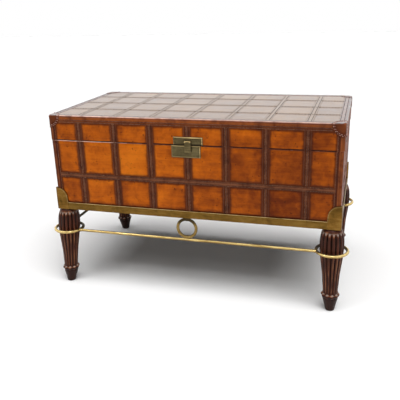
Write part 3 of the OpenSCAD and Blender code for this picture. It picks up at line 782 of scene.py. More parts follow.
@dataclass(frozen=True)
class Bays:
    """Open stretches between straps along one direction."""

    spans: tuple[tuple[float, float], ...]

    def lines(self, low: float, high: float) -> Array:
        """Returns grid lines from low to high, close together beside the straps."""
        insets, step = (0.0, 0.8, 2.0, 4.0, 7.0, 11.0, 16.0), 15.0
        marks = {low, high}
        for start, end in self.spans:
            for inset in insets:
                marks.update((start + inset, end - inset))
            first, last = start + insets[-1], end - insets[-1]
            count = max(2, round((last - first) / step) + 1)
            marks.update(np.linspace(first, last, count).tolist())
        kept = sorted(m for m in marks if low <= m <= high)
        lines = [kept[0]]
        for mark in kept[1:]:
            if mark - lines[-1] > 0.3:
                lines.append(mark)
        lines[-1] = high
        return np.array(lines)

    def depth(self, values: Array) -> tuple[Array, Array]:
        """Returns each value's distance inside its bay, 0 outside, and the bay's number."""
        inside, number = np.zeros(len(values)), np.zeros(len(values), int)
        for i, (start, end) in enumerate(self.spans):
            reach = np.minimum(values - start, end - values)
            hit = reach >= -0.01
            inside[hit], number[hit] = np.maximum(reach[hit], 0.0), i
        return inside, number

    def clear(self, values: Array, low: float, high: float) -> Array:
        """Returns each value's distance from the straps beside its bay.

        Args:
            values: Places along the direction.
            low: Lower end of the leather, which isn't a strap.
            high: Upper end of the leather.
        """
        open_end, near = 99.0, 4.0
        free = np.full_like(values, open_end)
        for start, end in self.spans:
            hit = (values >= start) & (values <= end)
            below = values - start + (open_end if abs(start - low) < near else 0.0)
            above = end - values + (open_end if abs(end - high) < near else 0.0)
            free[hit] = np.minimum(below, above)[hit]
        return free


@dataclass(frozen=True)
class Outline:
    """A rectangle with rounded corners, seen from above."""

    length: float
    depth: float
    radius: float

    def walk(self, xs: Array, ys: Array, arc: int = 7
             ) -> tuple[Array, Array, Array, Array]:
        """Goes round from the front left corner, the front first.

        Args:
            xs: Places along the long sides.
            ys: Places along the short sides.
            arc: Steps round each corner.

        Returns:
            Points, outward directions, number of the wall (0 to 3, or -1 on a corner)
            and the place along the wall.
        """
        a, b, r = self.length / 2, self.depth / 2, self.radius
        xs = xs[np.abs(xs) <= a - r + 1e-6]
        ys = ys[np.abs(ys) <= b - r + 1e-6]
        sides = ((xs, lambda v: (v, -b), (0, -1)), (ys, lambda v: (a, v), (1, 0)),
                 (xs[::-1], lambda v: (v, b), (0, 1)), (ys[::-1], lambda v: (-a, v), (-1, 0)))
        centres = ((a - r, -b + r), (a - r, b - r), (-a + r, b - r), (-a + r, -b + r))
        points, outs, walls, places = [], [], [], []
        for side, (values, spot, out) in enumerate(sides):
            for value in values:
                points.append(spot(value))
                outs.append(out)
                walls.append(side)
                places.append(value)
            start = -math.pi / 2 + side * math.pi / 2
            for step in range(1, arc):
                angle = start + step / arc * math.pi / 2
                out = (math.cos(angle), math.sin(angle))
                points.append((centres[side][0] + r * out[0], centres[side][1] + r * out[1]))
                outs.append(out)
                walls.append(-1)
                places.append(0.0)
        return np.array(points, float), np.array(outs, float), np.array(walls), np.array(places)

    def gap(self, points: Array, ways: Array, sink: float) -> Array:
        """Returns how far points are along ways from a depth of sink inside the outline."""
        half = np.array([self.length / 2 - self.radius, self.depth / 2 - self.radius])
        low, high = np.zeros(len(points)), np.full(len(points), 14.0)
        for _ in range(24):
            middle = (low + high) / 2
            away = np.abs(points + ways * middle[:, None]) - half
            level = (np.linalg.norm(np.maximum(away, 0), axis=1)
                     + np.minimum(away.max(1), 0) - self.radius)
            low, high = np.where(level > -sink, middle, low), np.where(level > -sink, high, middle)
        return low


def flat(x: float, y: float, z: float) -> Array:
    """Returns a point or direction as an array."""
    return np.array((x, y, z), float)


UP = flat(0, 0, 1)
CORNERS = {"front_left": (-1, -1), "front_right": (1, -1), "back_left": (-1, 1),
           "back_right": (1, 1)}


def wall_grid(points: Array, outs: Array, lift: Array | float, zs: Array) -> Array:
    """Returns a grid of points on upright walls, in rows round them and columns up them.

    Args:
        points: Places seen from above.
        outs: Outward directions.
        lift: How far each point of the grid stands out, or one for all.
        zs: Heights, the same for all rows or rows by columns.
    """
    lift = np.broadcast_to(lift, (len(points), zs.shape[-1]))
    level = points[:, None, :] + outs[:, None, :] * lift[:, :, None]
    return np.concatenate([level, np.broadcast_to(zs, lift.shape)[:, :, None]], 2)


def corner_runs(walls: Array, count: int, arc: int = 7) -> Iterator[list[int]]:
    """Goes through the four corners of a walk, from the front right one.

    Args:
        walls: Wall numbers of the walk.
        count: Points that are taken along with a corner on each side of it.
        arc: Steps round each corner.

    Yields:
        The numbers of the points round a corner.
    """
    size = len(walls)
    for corner in range(4):
        first = [i for i in range(size) if walls[i] == corner][-count:]
        after = [i for i in range(size) if walls[i] == (corner + 1) % 4][:count]
        yield first + [(first[-1] + 1 + k) % size for k in range(arc - 1)] + after


def loop_stations(points: Array, outs: Array, z: float, lift: Array | float) -> list[Station]:
    """Returns stations for a level band: it goes round, its width is upright.

    Args:
        points: Places seen from above.
        outs: Outward directions.
        z: Height of the band's middle.
        lift: How far each place stands out.
    """
    lifts = np.broadcast_to(np.asarray(lift, float), len(points))
    return [Station(flat(*(p + o * up), z), UP, flat(*o, 0))
            for p, o, up in zip(points, outs, lifts)]


def round_section(radius: float, sides: int) -> Array:
    """Returns a round section."""
    angles = np.arange(sides) / sides * 2 * math.pi
    return np.stack([np.cos(angles), np.sin(angles)], 1) * radius


def mirrored(half: Sequence[tuple[float, float, float]]) -> tuple[Array, Array]:
    """Returns a whole section from its left half, and the wear at each of its points."""
    rows = np.array([*half, *((-x, y, wear_and_light) for x, y, wear_and_light in reversed(half))])
    return rows[:, :2], rows[:, 2]


def turned(at: Array, way: Array, across: Array, out: Array,
           rings: Sequence[tuple[float, float]]) -> list[Station]:
    """Returns stations along way from at, one for each ring's place and size."""
    return [Station(at + way * place, across * size, out * size) for place, size in rings]


def strap_section(width: float, thick: float, row: float, rib: float = 0.35
                  ) -> tuple[Array, Array]:
    """Returns the section of a stitched strap and the wear at each of its points.

    Args:
        width: Width of the strap.
        thick: Thickness at its flats.
        row: Distance of the sunk stitch rows from the middle.
        rib: How far the middle stands up.
    """
    w, sunk, groove = width / 2, 0.4, 0.5
    return mirrored([
        (-w, -sunk, 0.0), (-w, thick * 0.55, 0.1), (-w + 0.35, thick * 0.92, 0.3),
        (-w + 0.9, thick, 0.3), (-w + 1.8, thick, 0.05), (-row - 1.2, thick, 0.0),
        (-row - 0.7, thick - groove, 0.0), (-row + 0.7, thick - groove, 0.0),
        (-row + 1.2, thick, 0.15), (-0.6, thick + rib * 0.8, 0.6), (-0.2, thick + rib, 0.8)])


def level_section(width: float, thick: float, row: float) -> tuple[Array, Array]:
    """Returns the section of a flat strap with narrow stitch rows, and the wear at its points.

    Args:
        width: Width of the strap.
        thick: Thickness of the strap.
        row: Distance of the stitch rows from the middle.
    """
    w = width / 2
    return mirrored([
        (-w, -0.4, 0.0), (-w, thick * 0.7, 0.1), (-w + 0.25, thick, 0.1), (-w + 0.7, thick, 0.1),
        (-row - 1.0, thick, 0.0), (-row - 0.6, thick, 0.0), (-row - 0.4, thick - 0.3, 0.0),
        (-row + 0.4, thick - 0.3, 0.0), (-row + 0.6, thick, 0.0), (-row + 1.0, thick, 0.1)])


class Threadwork:
    """Rows of hand stitches on one body, laid by a Geometry Nodes rule."""

    rule: Pattern | None = None

    def __init__(self) -> None:
        """Starts with no rows."""
        self.points: list[Array] = []
        self.edges: list[tuple[int, int]] = []
        self.count = 0

    def row(self, points: Sequence[Array], closed: bool = False) -> None:
        """Adds a row of stitches along points in millimetres."""
        size = len(points)
        self.points.append(np.asarray(points, float))
        self.edges += [(self.count + i, self.count + i + 1) for i in range(size - 1)]
        if closed:
            self.edges.append((self.count + size - 1, self.count))
        self.count += size

    @classmethod
    def build_rule(cls) -> Pattern:
        """Builds the rule: a stitch every pitch, each turned along its row."""
        p = Pattern("stitch rows", pitch=float, length=float, thickness=float, seed=int,
                    material=bpy.types.Material)
        curve = p.node("GeometryNodeMeshToCurve", {"Mesh": p.inputs["Geometry"]}).outputs[0]
        spaced = p.node("GeometryNodeResampleCurve", {
            "Curve": curve, "Length": p.inputs["pitch"]}, mode="LENGTH").outputs[0]
        bead = p.node("GeometryNodeMeshUVSphere", {
            "Segments": 6, "Rings": 4, "Radius": 0.5}).outputs[0]
        size = p.vector(p.inputs["thickness"], p.inputs["thickness"], p.inputs["length"])
        stitch = p.node("GeometryNodeTransform", {"Geometry": bead, "Scale": size}).outputs[0]
        turn = p.node("FunctionNodeAlignRotationToVector", {
            "Vector": p.node("GeometryNodeInputTangent").outputs[0]}, axis="Z").outputs[0]
        wobble = p.node("FunctionNodeRandomValue", {
            "Seed": p.inputs["seed"]}, data_type="FLOAT")
        wobble.inputs[2].default_value, wobble.inputs[3].default_value = 0.86, 1.1
        laid = p.node("GeometryNodeInstanceOnPoints", {
            "Points": spaced, "Instance": stitch, "Rotation": turn,
            "Scale": wobble.outputs[1]}).outputs[0]
        p.end(laid)
        return p

    def make(self, name: str, thread: bpy.types.Material, carrier: Carrier,
             thickness: float = 1.05, pitch: float = 4.6, length: float = 3.3) -> None:
        """Lays the stitches, sized in millimetres, as one piece."""
        if Threadwork.rule is None:
            Threadwork.rule = self.build_rule()
        source = bpy.data.meshes.new(name)
        source.from_pydata((np.concatenate(self.points) * MM).tolist(), self.edges, [])
        mesh = Threadwork.rule.run(name, source, pitch=pitch * MM, length=length * MM,
                                   thickness=thickness * MM, seed=7, material=thread)
        settle(name, mesh, thread, carrier, crease=180.0)


class Fasteners:
    """Heads of nails or screws on one body, put in place by a Geometry Nodes rule."""

    def __init__(self, head: Callable[[], bpy.types.Mesh]) -> None:
        """Takes the function that makes one head, which faces +Z."""
        self.head = head
        self.points: list[Array] = []
        self.outs: list[Array] = []

    def add(self, at: Array, out: Array) -> None:
        """Adds a head at a point in millimetres, facing out."""
        self.points.append(at)
        self.outs.append(out)

    def make(self, name: str, palette: Palette, finish: Finish, carrier: Carrier,
             nodes: Sequence[str]) -> None:
        """Sets the heads as one piece."""
        p = Pattern(name, seed=int, material=bpy.types.Material)
        form = put(name + "_form", self.head())
        head = p.node("GeometryNodeObjectInfo", {"Object": form}).outputs["Geometry"]
        facing = p.node("GeometryNodeInputNamedAttribute", {"Name": "facing"},
                        data_type="FLOAT_VECTOR").outputs[0]
        turn = p.node("FunctionNodeAlignRotationToVector", {"Vector": facing}, axis="Z")
        spin = p.node("FunctionNodeRandomValue", {"Seed": p.inputs["seed"]}, data_type="FLOAT")
        spin.inputs[2].default_value, spin.inputs[3].default_value = 0.0, 2 * math.pi
        twist = p.node("FunctionNodeAxisAngleToRotation", {"Angle": spin.outputs[1]})
        whole = p.node("FunctionNodeRotateRotation", {
            0: turn.outputs[0], 1: twist.outputs[0]}, rotation_space="LOCAL")
        points = p.node("GeometryNodeMeshToPoints", {"Mesh": p.inputs["Geometry"]}).outputs[0]
        set_out = p.node("GeometryNodeInstanceOnPoints", {
            "Points": points, "Instance": head, "Rotation": whole.outputs[0]}).outputs[0]
        p.end(set_out)
        source = bpy.data.meshes.new(name)
        source.from_pydata((np.array(self.points) * MM).tolist(), [], [])
        layer = source.attributes.new("facing", "FLOAT_VECTOR", "POINT")
        layer.data.foreach_set("vector", np.array(self.outs, np.float32).reshape(-1))
        mesh = p.run(name, source, seed=3, material=palette[finish])
        bpy.data.objects.remove(form)
        settle(name, mesh, palette[finish], carrier, nodes, crease=30.0)


def nail_head() -> bpy.types.Mesh:
    """Returns a domed nail head of 2.6 mm radius with a short shank below it."""
    shell = Shell()
    shell.sweep(round_section(1.0, 12), turned(
        flat(0, 0, 0), UP, flat(1, 0, 0), flat(0, 1, 0),
        ((-5.0, 1.0), (-0.4, 1.0), (-0.4, 2.55), (0.1, 2.6), (0.75, 2.2), (1.1, 1.4),
         (1.25, 0.02))))
    return shell.mesh("nail_head")


def screw_head() -> bpy.types.Mesh:
    """Returns a slotted screw head of 3.6 mm radius, its shank and its slot."""
    shell = Shell()
    radius, slot = 3.55, 0.9
    middle, x, y = flat(0, 0, 0), flat(1, 0, 0), flat(0, 1, 0)
    shell.sweep(round_section(1.0, 14), turned(
        middle, UP, x, y, ((-9.0, 1.6), (-2.6, 1.6), (-0.2, radius), (0.0, radius))))
    reach = math.asin(slot / 2 / 3.5)
    angles = np.linspace(reach, math.pi - reach, 9)
    for side in (-1, 1):
        half = np.stack([np.cos(angles), side * np.sin(angles)], 1) * radius
        shell.sweep(half, turned(middle, UP, x, y, ((-0.05, 1.0), (0.35, 1.0)))
                    + [Station(UP * 0.62, x * 0.88, y * 0.9)])
    return shell.mesh("screw_head")


# The trunk's own sizes


@dataclass(frozen=True)
class Sizes:
    """Sizes that several pieces share, the same as the part's own."""

    lid_length: float = 920.0
    lid_depth: float = 476.0
    top: float = 578.0
    seam: float = 499.0
    seam_gap: float = 0.3
    body_inset: float = 1.5
    corner: float = 10.0
    body_corner: float = 6.0
    edge: float = 3.6
    trim: float = 1.5
    leather: float = 1.5
    strap: float = 20.0
    stitch_row: float = 2.5
    girth_row: float = 5.4
    top_row: float = 5.2
    stitch_sink: float = 0.15
    girth: float = 16.0
    girth_z: float = 383.0
    pitch: float = 119.0
    row: float = 117.5
    binding: float = 22.0
    rim: float = 22.5
    cap: float = 40.0
    rail_low: float = 263.0
    rail_high: float = 287.0
    rail_metal: float = 3.0

    @property
    def strap_x(self) -> list[float]:
        """Places of the straps along the length."""
        return [k * self.pitch for k in range(-3, 4)]

    @property
    def strap_y(self) -> list[float]:
        """Places of the straps along the depth."""
        return [k * self.row for k in range(-1, 2)]

    def bays(self, centres: Sequence[float], reach: float) -> Bays:
        """Returns the open stretches between straps at centres, as far as reach each way."""
        sides = [centre + side * self.strap / 2 for centre in centres for side in (-1, 1)]
        edges = [-reach, *sides, reach]
        return Bays(tuple(zip(edges[::2], edges[1::2])))


S = Sizes()


@dataclass
class Covering:
    """Panel leather on the walls of the body or the lid, padded a little in each bay."""

    outline: Outline
    low: float
    high: float
    bays_x: Bays
    bays_y: Bays
    bays_z: Bays
    lip_at: float
    lip_out: float
    seam_line: float = 2.0
    padding: float = 0.9
    seed: int = 2703

    def add(self, shell: Shell, shade: Callable[[Array, Array], Array]) -> None:
        """Adds the wall leather to a shell.

        Args:
            shell: Shell that takes it.
            shade: Gives a mark from the place along X and the height, added to each panel's own
                random tone; the callers paint shade with it.
        """
        o = self.outline
        xs = self.bays_x.lines(-o.length / 2 + o.radius, o.length / 2 - o.radius)
        ys = self.bays_y.lines(-o.depth / 2 + o.radius, o.depth / 2 - o.radius)
        points, outs, walls, places = o.walk(xs, ys)
        lip = self.lip_at + np.array([-2.6, -2.2, -1.5, -0.7, 0.0, 0.7, 1.5, 2.2, 2.6])
        zs = np.concatenate([self.bays_z.lines(self.low, self.high), lip])
        zs = np.unique(np.round(zs[(zs >= self.low) & (zs <= self.high)], 3))
        du, iu = np.zeros(len(points)), np.zeros(len(points), int)
        for wall in range(4):
            hit = walls == wall
            bays = self.bays_x if wall % 2 == 0 else self.bays_y
            du[hit], iu[hit] = bays.depth(places[hit])
        dv, iv = self.bays_z.depth(zs)
        inside = np.minimum(du[:, None], self.bays_z.clear(zs, self.low, self.high)[None, :])
        rise = np.outer(1 - (1 - np.minimum(du / 13, 1)) ** 2,
                        1 - (1 - np.minimum(dv / 13, 1)) ** 2)
        bulge = self.lip_out * np.sqrt(np.clip(1 - ((zs - self.lip_at) / 2.6) ** 2, 0, 1))
        height = np.maximum(self.padding * rise, bulge[None, :])
        dice = np.random.default_rng(self.seed).random((4, 9, 4))
        hide_and_shade = dice[np.clip(walls, 0, 3)[:, None], iu[:, None], iv[None, :]]
        hide_and_shade = 0.5 + (hide_and_shade - 0.5) * 0.55 + shade(points[:, 0][:, None], zs[None, :])
        tone = 0.7 * ease(inside, 0.0, 9.0) + 0.3 * ease(inside, 4.0, 40.0)
        seam = self.low if self.lip_at < (self.low + self.high) / 2 else self.high
        tone = tone * ease(np.abs(zs - seam), self.seam_line * 0.4, self.seam_line)[None, :]
        tone = tone - 0.5 * (1 - ease(np.abs(zs - seam), 0.0, self.seam_line))[None, :]
        shell.patch(wall_grid(points, outs, height, zs), wall_grid(points, outs, -S.leather, zs),
                    tone, hide_and_shade, wrap=True)


def wall_straps(shell: Shell, face_x: float, face_y: float, low: float, high: float,
                threads: Threadwork) -> None:
    """Adds the upright straps of all four walls, each with two rows of stitches.

    Args:
        shell: Shell that takes them.
        face_x: Distance of the end walls from the middle.
        face_y: Distance of the long walls from the middle.
        low: Lower end.
        high: Upper end.
        threads: Takes the stitches.
    """
    section, tone = strap_section(S.strap, S.trim, S.stitch_row)
    heights = np.linspace(low, high, max(3, round((high - low) / 24)))
    places = [(flat(x, side * face_y, 0), flat(0, side, 0)) for x in S.strap_x for side in (-1, 1)]
    places += [(flat(side * face_x, y, 0), flat(side, 0, 0)) for y in S.strap_y for side in (-1, 1)]
    for at, out in places:
        across = np.cross(UP, out)
        shell.sweep(section, [Station(at + UP * z, across, out) for z in heights], tone=tone)
        for side in (-1, 1):
            row = at + across * side * S.stitch_row + out * (S.trim - S.stitch_sink)
            threads.row([row + UP * z for z in (low + 2.0, high - 2.0)])


def corner_wraps(shell: Shell, outline: Outline, low: float, high: float,
                 threads: Threadwork) -> None:
    """Adds the stitched leather that wraps the four upright corners.

    Args:
        shell: Shell that takes it.
        outline: Outline of the leather under it.
        low: Lower end.
        high: Upper end.
        threads: Takes the stitches.
    """
    marks = [0.0, 0.3, 0.9, 1.7, 2.3, 3.0, 3.6, 6.0, 8.5, 9.5, 13.0]
    ends = [side / 2 + S.trim - S.binding for side in (outline.length, outline.depth)]
    lines = [np.array(sorted(s * (end + mark) for s in (-1, 1)
                             for mark in marks if end + mark <= side / 2 - outline.radius))
             for end, side in zip(ends, (outline.length, outline.depth))]
    points, outs, walls, places = outline.walk(*lines)
    gap = np.where(walls < 0, 20.0, np.abs(places) - np.where(walls % 2 == 0, *ends))
    height = np.interp(gap, marks, [0.4, 1.2, 1.5, 1.5, 1.05, 1.05, 1.45, 1.5, 1.5, 1.7, 1.5])
    # Tone: lighter on the raised edges by wear, and on the rounded corner as a painted highlight.
    wear_and_light = np.interp(gap, [0, 0.9, 1.7, 2.3, 9.0, 9.8, 12.0, 20.0],
                     [0, 0.4, 0.1, 0, 0, 0.7, 0.1, 0.25])
    hide_and_shade = np.interp(gap, [0, 8.6, 9.4], [0.1, 0.1, 0.22]) * np.where(points[:, 0] < 0, 0.5, 1)
    zs = np.linspace(low, high, max(4, round((high - low) / 10)))
    for run in corner_runs(walls, len(lines[0]) // 2):
        p, o = points[run], outs[run]
        shell.patch(wall_grid(p, o, height[run][:, None], zs), wall_grid(p, o, -0.4, zs),
                    wear_and_light[run][:, None], hide_and_shade[run][:, None])
        for pick in (run[4], run[-5]):
            at = points[pick] + outs[pick] * 1.3
            threads.row([[*at, low + 2], [*at, high - 2]])


class TrunkBody:
    """The body of the trunk: panels, upright straps, girth strap, corner bindings, lining."""

    def __init__(self, palette: Palette) -> None:
        """Takes the finishes."""
        self.palette = palette
        inset = S.body_inset + S.trim
        self.outline = Outline(S.lid_length - 2 * inset, S.lid_depth - 2 * inset,
                               S.body_corner)
        self.low = S.rail_low + S.rail_metal
        self.high = S.seam - S.seam_gap
        self.face_x = self.outline.length / 2
        self.face_y = self.outline.depth / 2
        self.threads = Threadwork()

    def panels(self) -> None:
        """Makes the panel leather with its lip along the seam."""
        shell = Shell()
        girth = S.girth / 2
        covering = Covering(
            self.outline, self.low, self.high,
            S.bays(S.strap_x, self.face_x + S.trim - S.binding),
            S.bays(S.strap_y, self.face_y + S.trim - S.binding),
            Bays(((S.rail_high, S.girth_z - girth), (S.girth_z + girth, self.high - 3.0))),
            lip_at=self.high - 1.6, lip_out=0.6, seam_line=1.2)
        # Painted shade: the panels darken towards the right end; the far left bay and the row below
        # the girth strap are darker too.
        covering.add(shell, lambda x, z: 0.24 - 0.52 * ease(x, -220.0, 430.0)
                     - 0.12 * ease(-x, 330.0, 360.0) - 0.16 * (z < S.girth_z))
        self.palette.lay("body_panels", shell, Finish.PANEL_LEATHER, Carrier.STAND,
                         ["body_leather"])

    def uprights(self) -> None:
        """Makes the upright straps on all four walls."""
        shell = Shell()
        wall_straps(shell, self.face_x, self.face_y, self.low, self.high, self.threads)
        self.palette.lay("body_upright_straps", shell, Finish.STRAP_LEATHER, Carrier.STAND,
                         ["body_straps_upright"])

    def girth(self) -> None:
        """Makes the strap round the body: over the uprights and under the corner leather."""
        half = S.strap / 2
        offsets = (-half - 5, -half - 3.5, -half - 2, -half - 0.5, -half + 1, 0, half - 1,
                   half + 0.5, half + 2, half + 3.5, half + 5)
        end_x, end_y = self.face_x + S.trim, self.face_y + S.trim
        lines = {}
        for key, centres, end in (("x", S.strap_x, end_x), ("y", S.strap_y, end_y)):
            marks = [c + o for c in centres for o in offsets]
            marks += [s * (end - S.binding - o) for s in (-1, 1) for o in (-2, 0, 1.5, 3, 4.5)]
            marks += np.linspace(-end + 14, end - 14, 60).tolist()
            lines[key] = np.unique(np.round(marks, 2))
        points, outs, walls, places = self.outline.walk(lines["x"], lines["y"])
        sunk = S.trim + 0.2
        lift = np.full(len(points), -sunk)
        for i, (wall, place) in enumerate(zip(walls, places)):
            if wall < 0:
                continue
            centres, end = (S.strap_x, end_x) if wall % 2 == 0 else (S.strap_y, end_y)
            gap = min(abs(place - c) for c in centres) - half
            lift[i] = (S.trim + 0.1) * (1 - ease(gap, 0.4, 5.0))
            lift[i] -= sunk * ease(abs(place) - end + S.binding, 0.0, 2.0)
        section, tone = strap_section(S.girth, S.trim, S.girth_row, rib=0.0)
        shell = Shell()
        shell.sweep(section, loop_stations(points, outs, S.girth_z, lift), closed=True, tone=tone)
        self.palette.lay("body_girth_strap", shell, Finish.STRAP_LEATHER, Carrier.STAND,
                         ["body_strap_girth"])
        for side in (-1, 1):
            z = S.girth_z + side * S.girth_row
            rim = points + outs * (lift + S.trim - S.stitch_sink)[:, None]
            self.threads.row(np.column_stack([rim, np.full(len(rim), z)]), closed=True)

    def bindings(self) -> None:
        """Makes the leather that binds the four upright corners, and the welt at the seam."""
        shell, seam = Shell(), Shell()
        corner_wraps(shell, self.outline, self.low, self.high, self.threads)
        marks = [np.linspace(-v, v, n) for v, n in ((445, 90), (223, 46))]
        points, outs, _, _ = self.outline.walk(*marks)
        welt = loop_stations(points, outs, self.high - 1.5, 0.35)
        # Painted highlight: the welt is pale along the left part of the front.
        rub_and_highlight = ease(-points[:, 0], 110.0, 350.0) * (outs[:, 1] < -0.5)
        seam.sweep(round_section(1.35, 12), welt, closed=True, tone=rub_and_highlight[:, None], hide_and_shade=0.25)
        self.palette.lay("body_seam_welt", seam, Finish.BINDING_LEATHER, Carrier.STAND,
                         special=self.palette.crown_binding)
        self.palette.lay("body_bindings", shell, Finish.BINDING_LEATHER, Carrier.STAND,
                         ["body_corner_bindings"])

    def lining(self) -> None:
        """Makes the cloth inside the body, with a tape along its upper edge."""
        floor, top = 278.0, S.seam - 0.8
        cloth_lining("body_lining_cloth", Outline(887.0, 443.0, 5.0), floor, top, floor,
                     self.palette, Carrier.STAND, "body_lining")

    def build(self) -> None:
        """Builds the whole body."""
        self.panels()
        self.uprights()
        self.girth()
        self.bindings()
        self.lining()
        self.threads.make("body_stitches", self.palette.thread, Carrier.STAND)


def cloth_lining(name: str, outline: Outline, low: float, high: float, base: float,
                 palette: Palette, carrier: Carrier, node: str) -> None:
    """Makes a glued lining of walls and a floor or ceiling, with small puckers.

    Args:
        name: Name of the piece.
        outline: Inside of the boards.
        low: Lower end of the walls.
        high: Upper end of the walls.
        base: Height of the board under the floor or over the ceiling.
        palette: The finishes.
        carrier: Body that it rides on.
        node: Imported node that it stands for.
    """
    shell = Shell()
    down = base > (low + high) / 2
    points, outs, _, _ = outline.walk(np.linspace(-440, 440, 60), np.linspace(-215, 215, 32))
    steps = np.linspace(0, 1, 16)
    zs = low + (high - low) * steps
    i, j = np.meshgrid(np.arange(len(points)), np.arange(len(zs)), indexing="ij")
    pucker = 0.22 * np.sin(i * 0.9 + 2.1 * np.sin(j * 0.7))
    pucker = pucker * np.sin(j * 0.8 + 1.3 * np.sin(i * 0.3))
    tape = np.where(np.abs(zs - (low if down else high)) < 9.0, 0.5, 0.0)
    thick = 0.85 + pucker * np.sin(steps * math.pi) + tape[None, :]
    shell.patch(wall_grid(points, outs, -thick, zs), wall_grid(points, outs, 0.0, zs), wrap=True)
    xs, ys = np.linspace(-442, 442, 70), np.linspace(-220, 220, 36)
    x, y = np.meshgrid(xs, ys, indexing="ij")
    side = -1.0 if down else 1.0
    wave = 0.2 * np.sin(x * 0.045 + 1.5 * np.sin(y * 0.03)) * np.sin(y * 0.05 + np.sin(x * 0.02))
    face = np.stack([x, y, base + side * (0.9 + wave)], 2)
    back = np.stack([x, y, np.full_like(x, base)], 2)
    shell.patch(face, back)
    palette.lay(name, shell, Finish.LINING_CLOTH, carrier, [node])


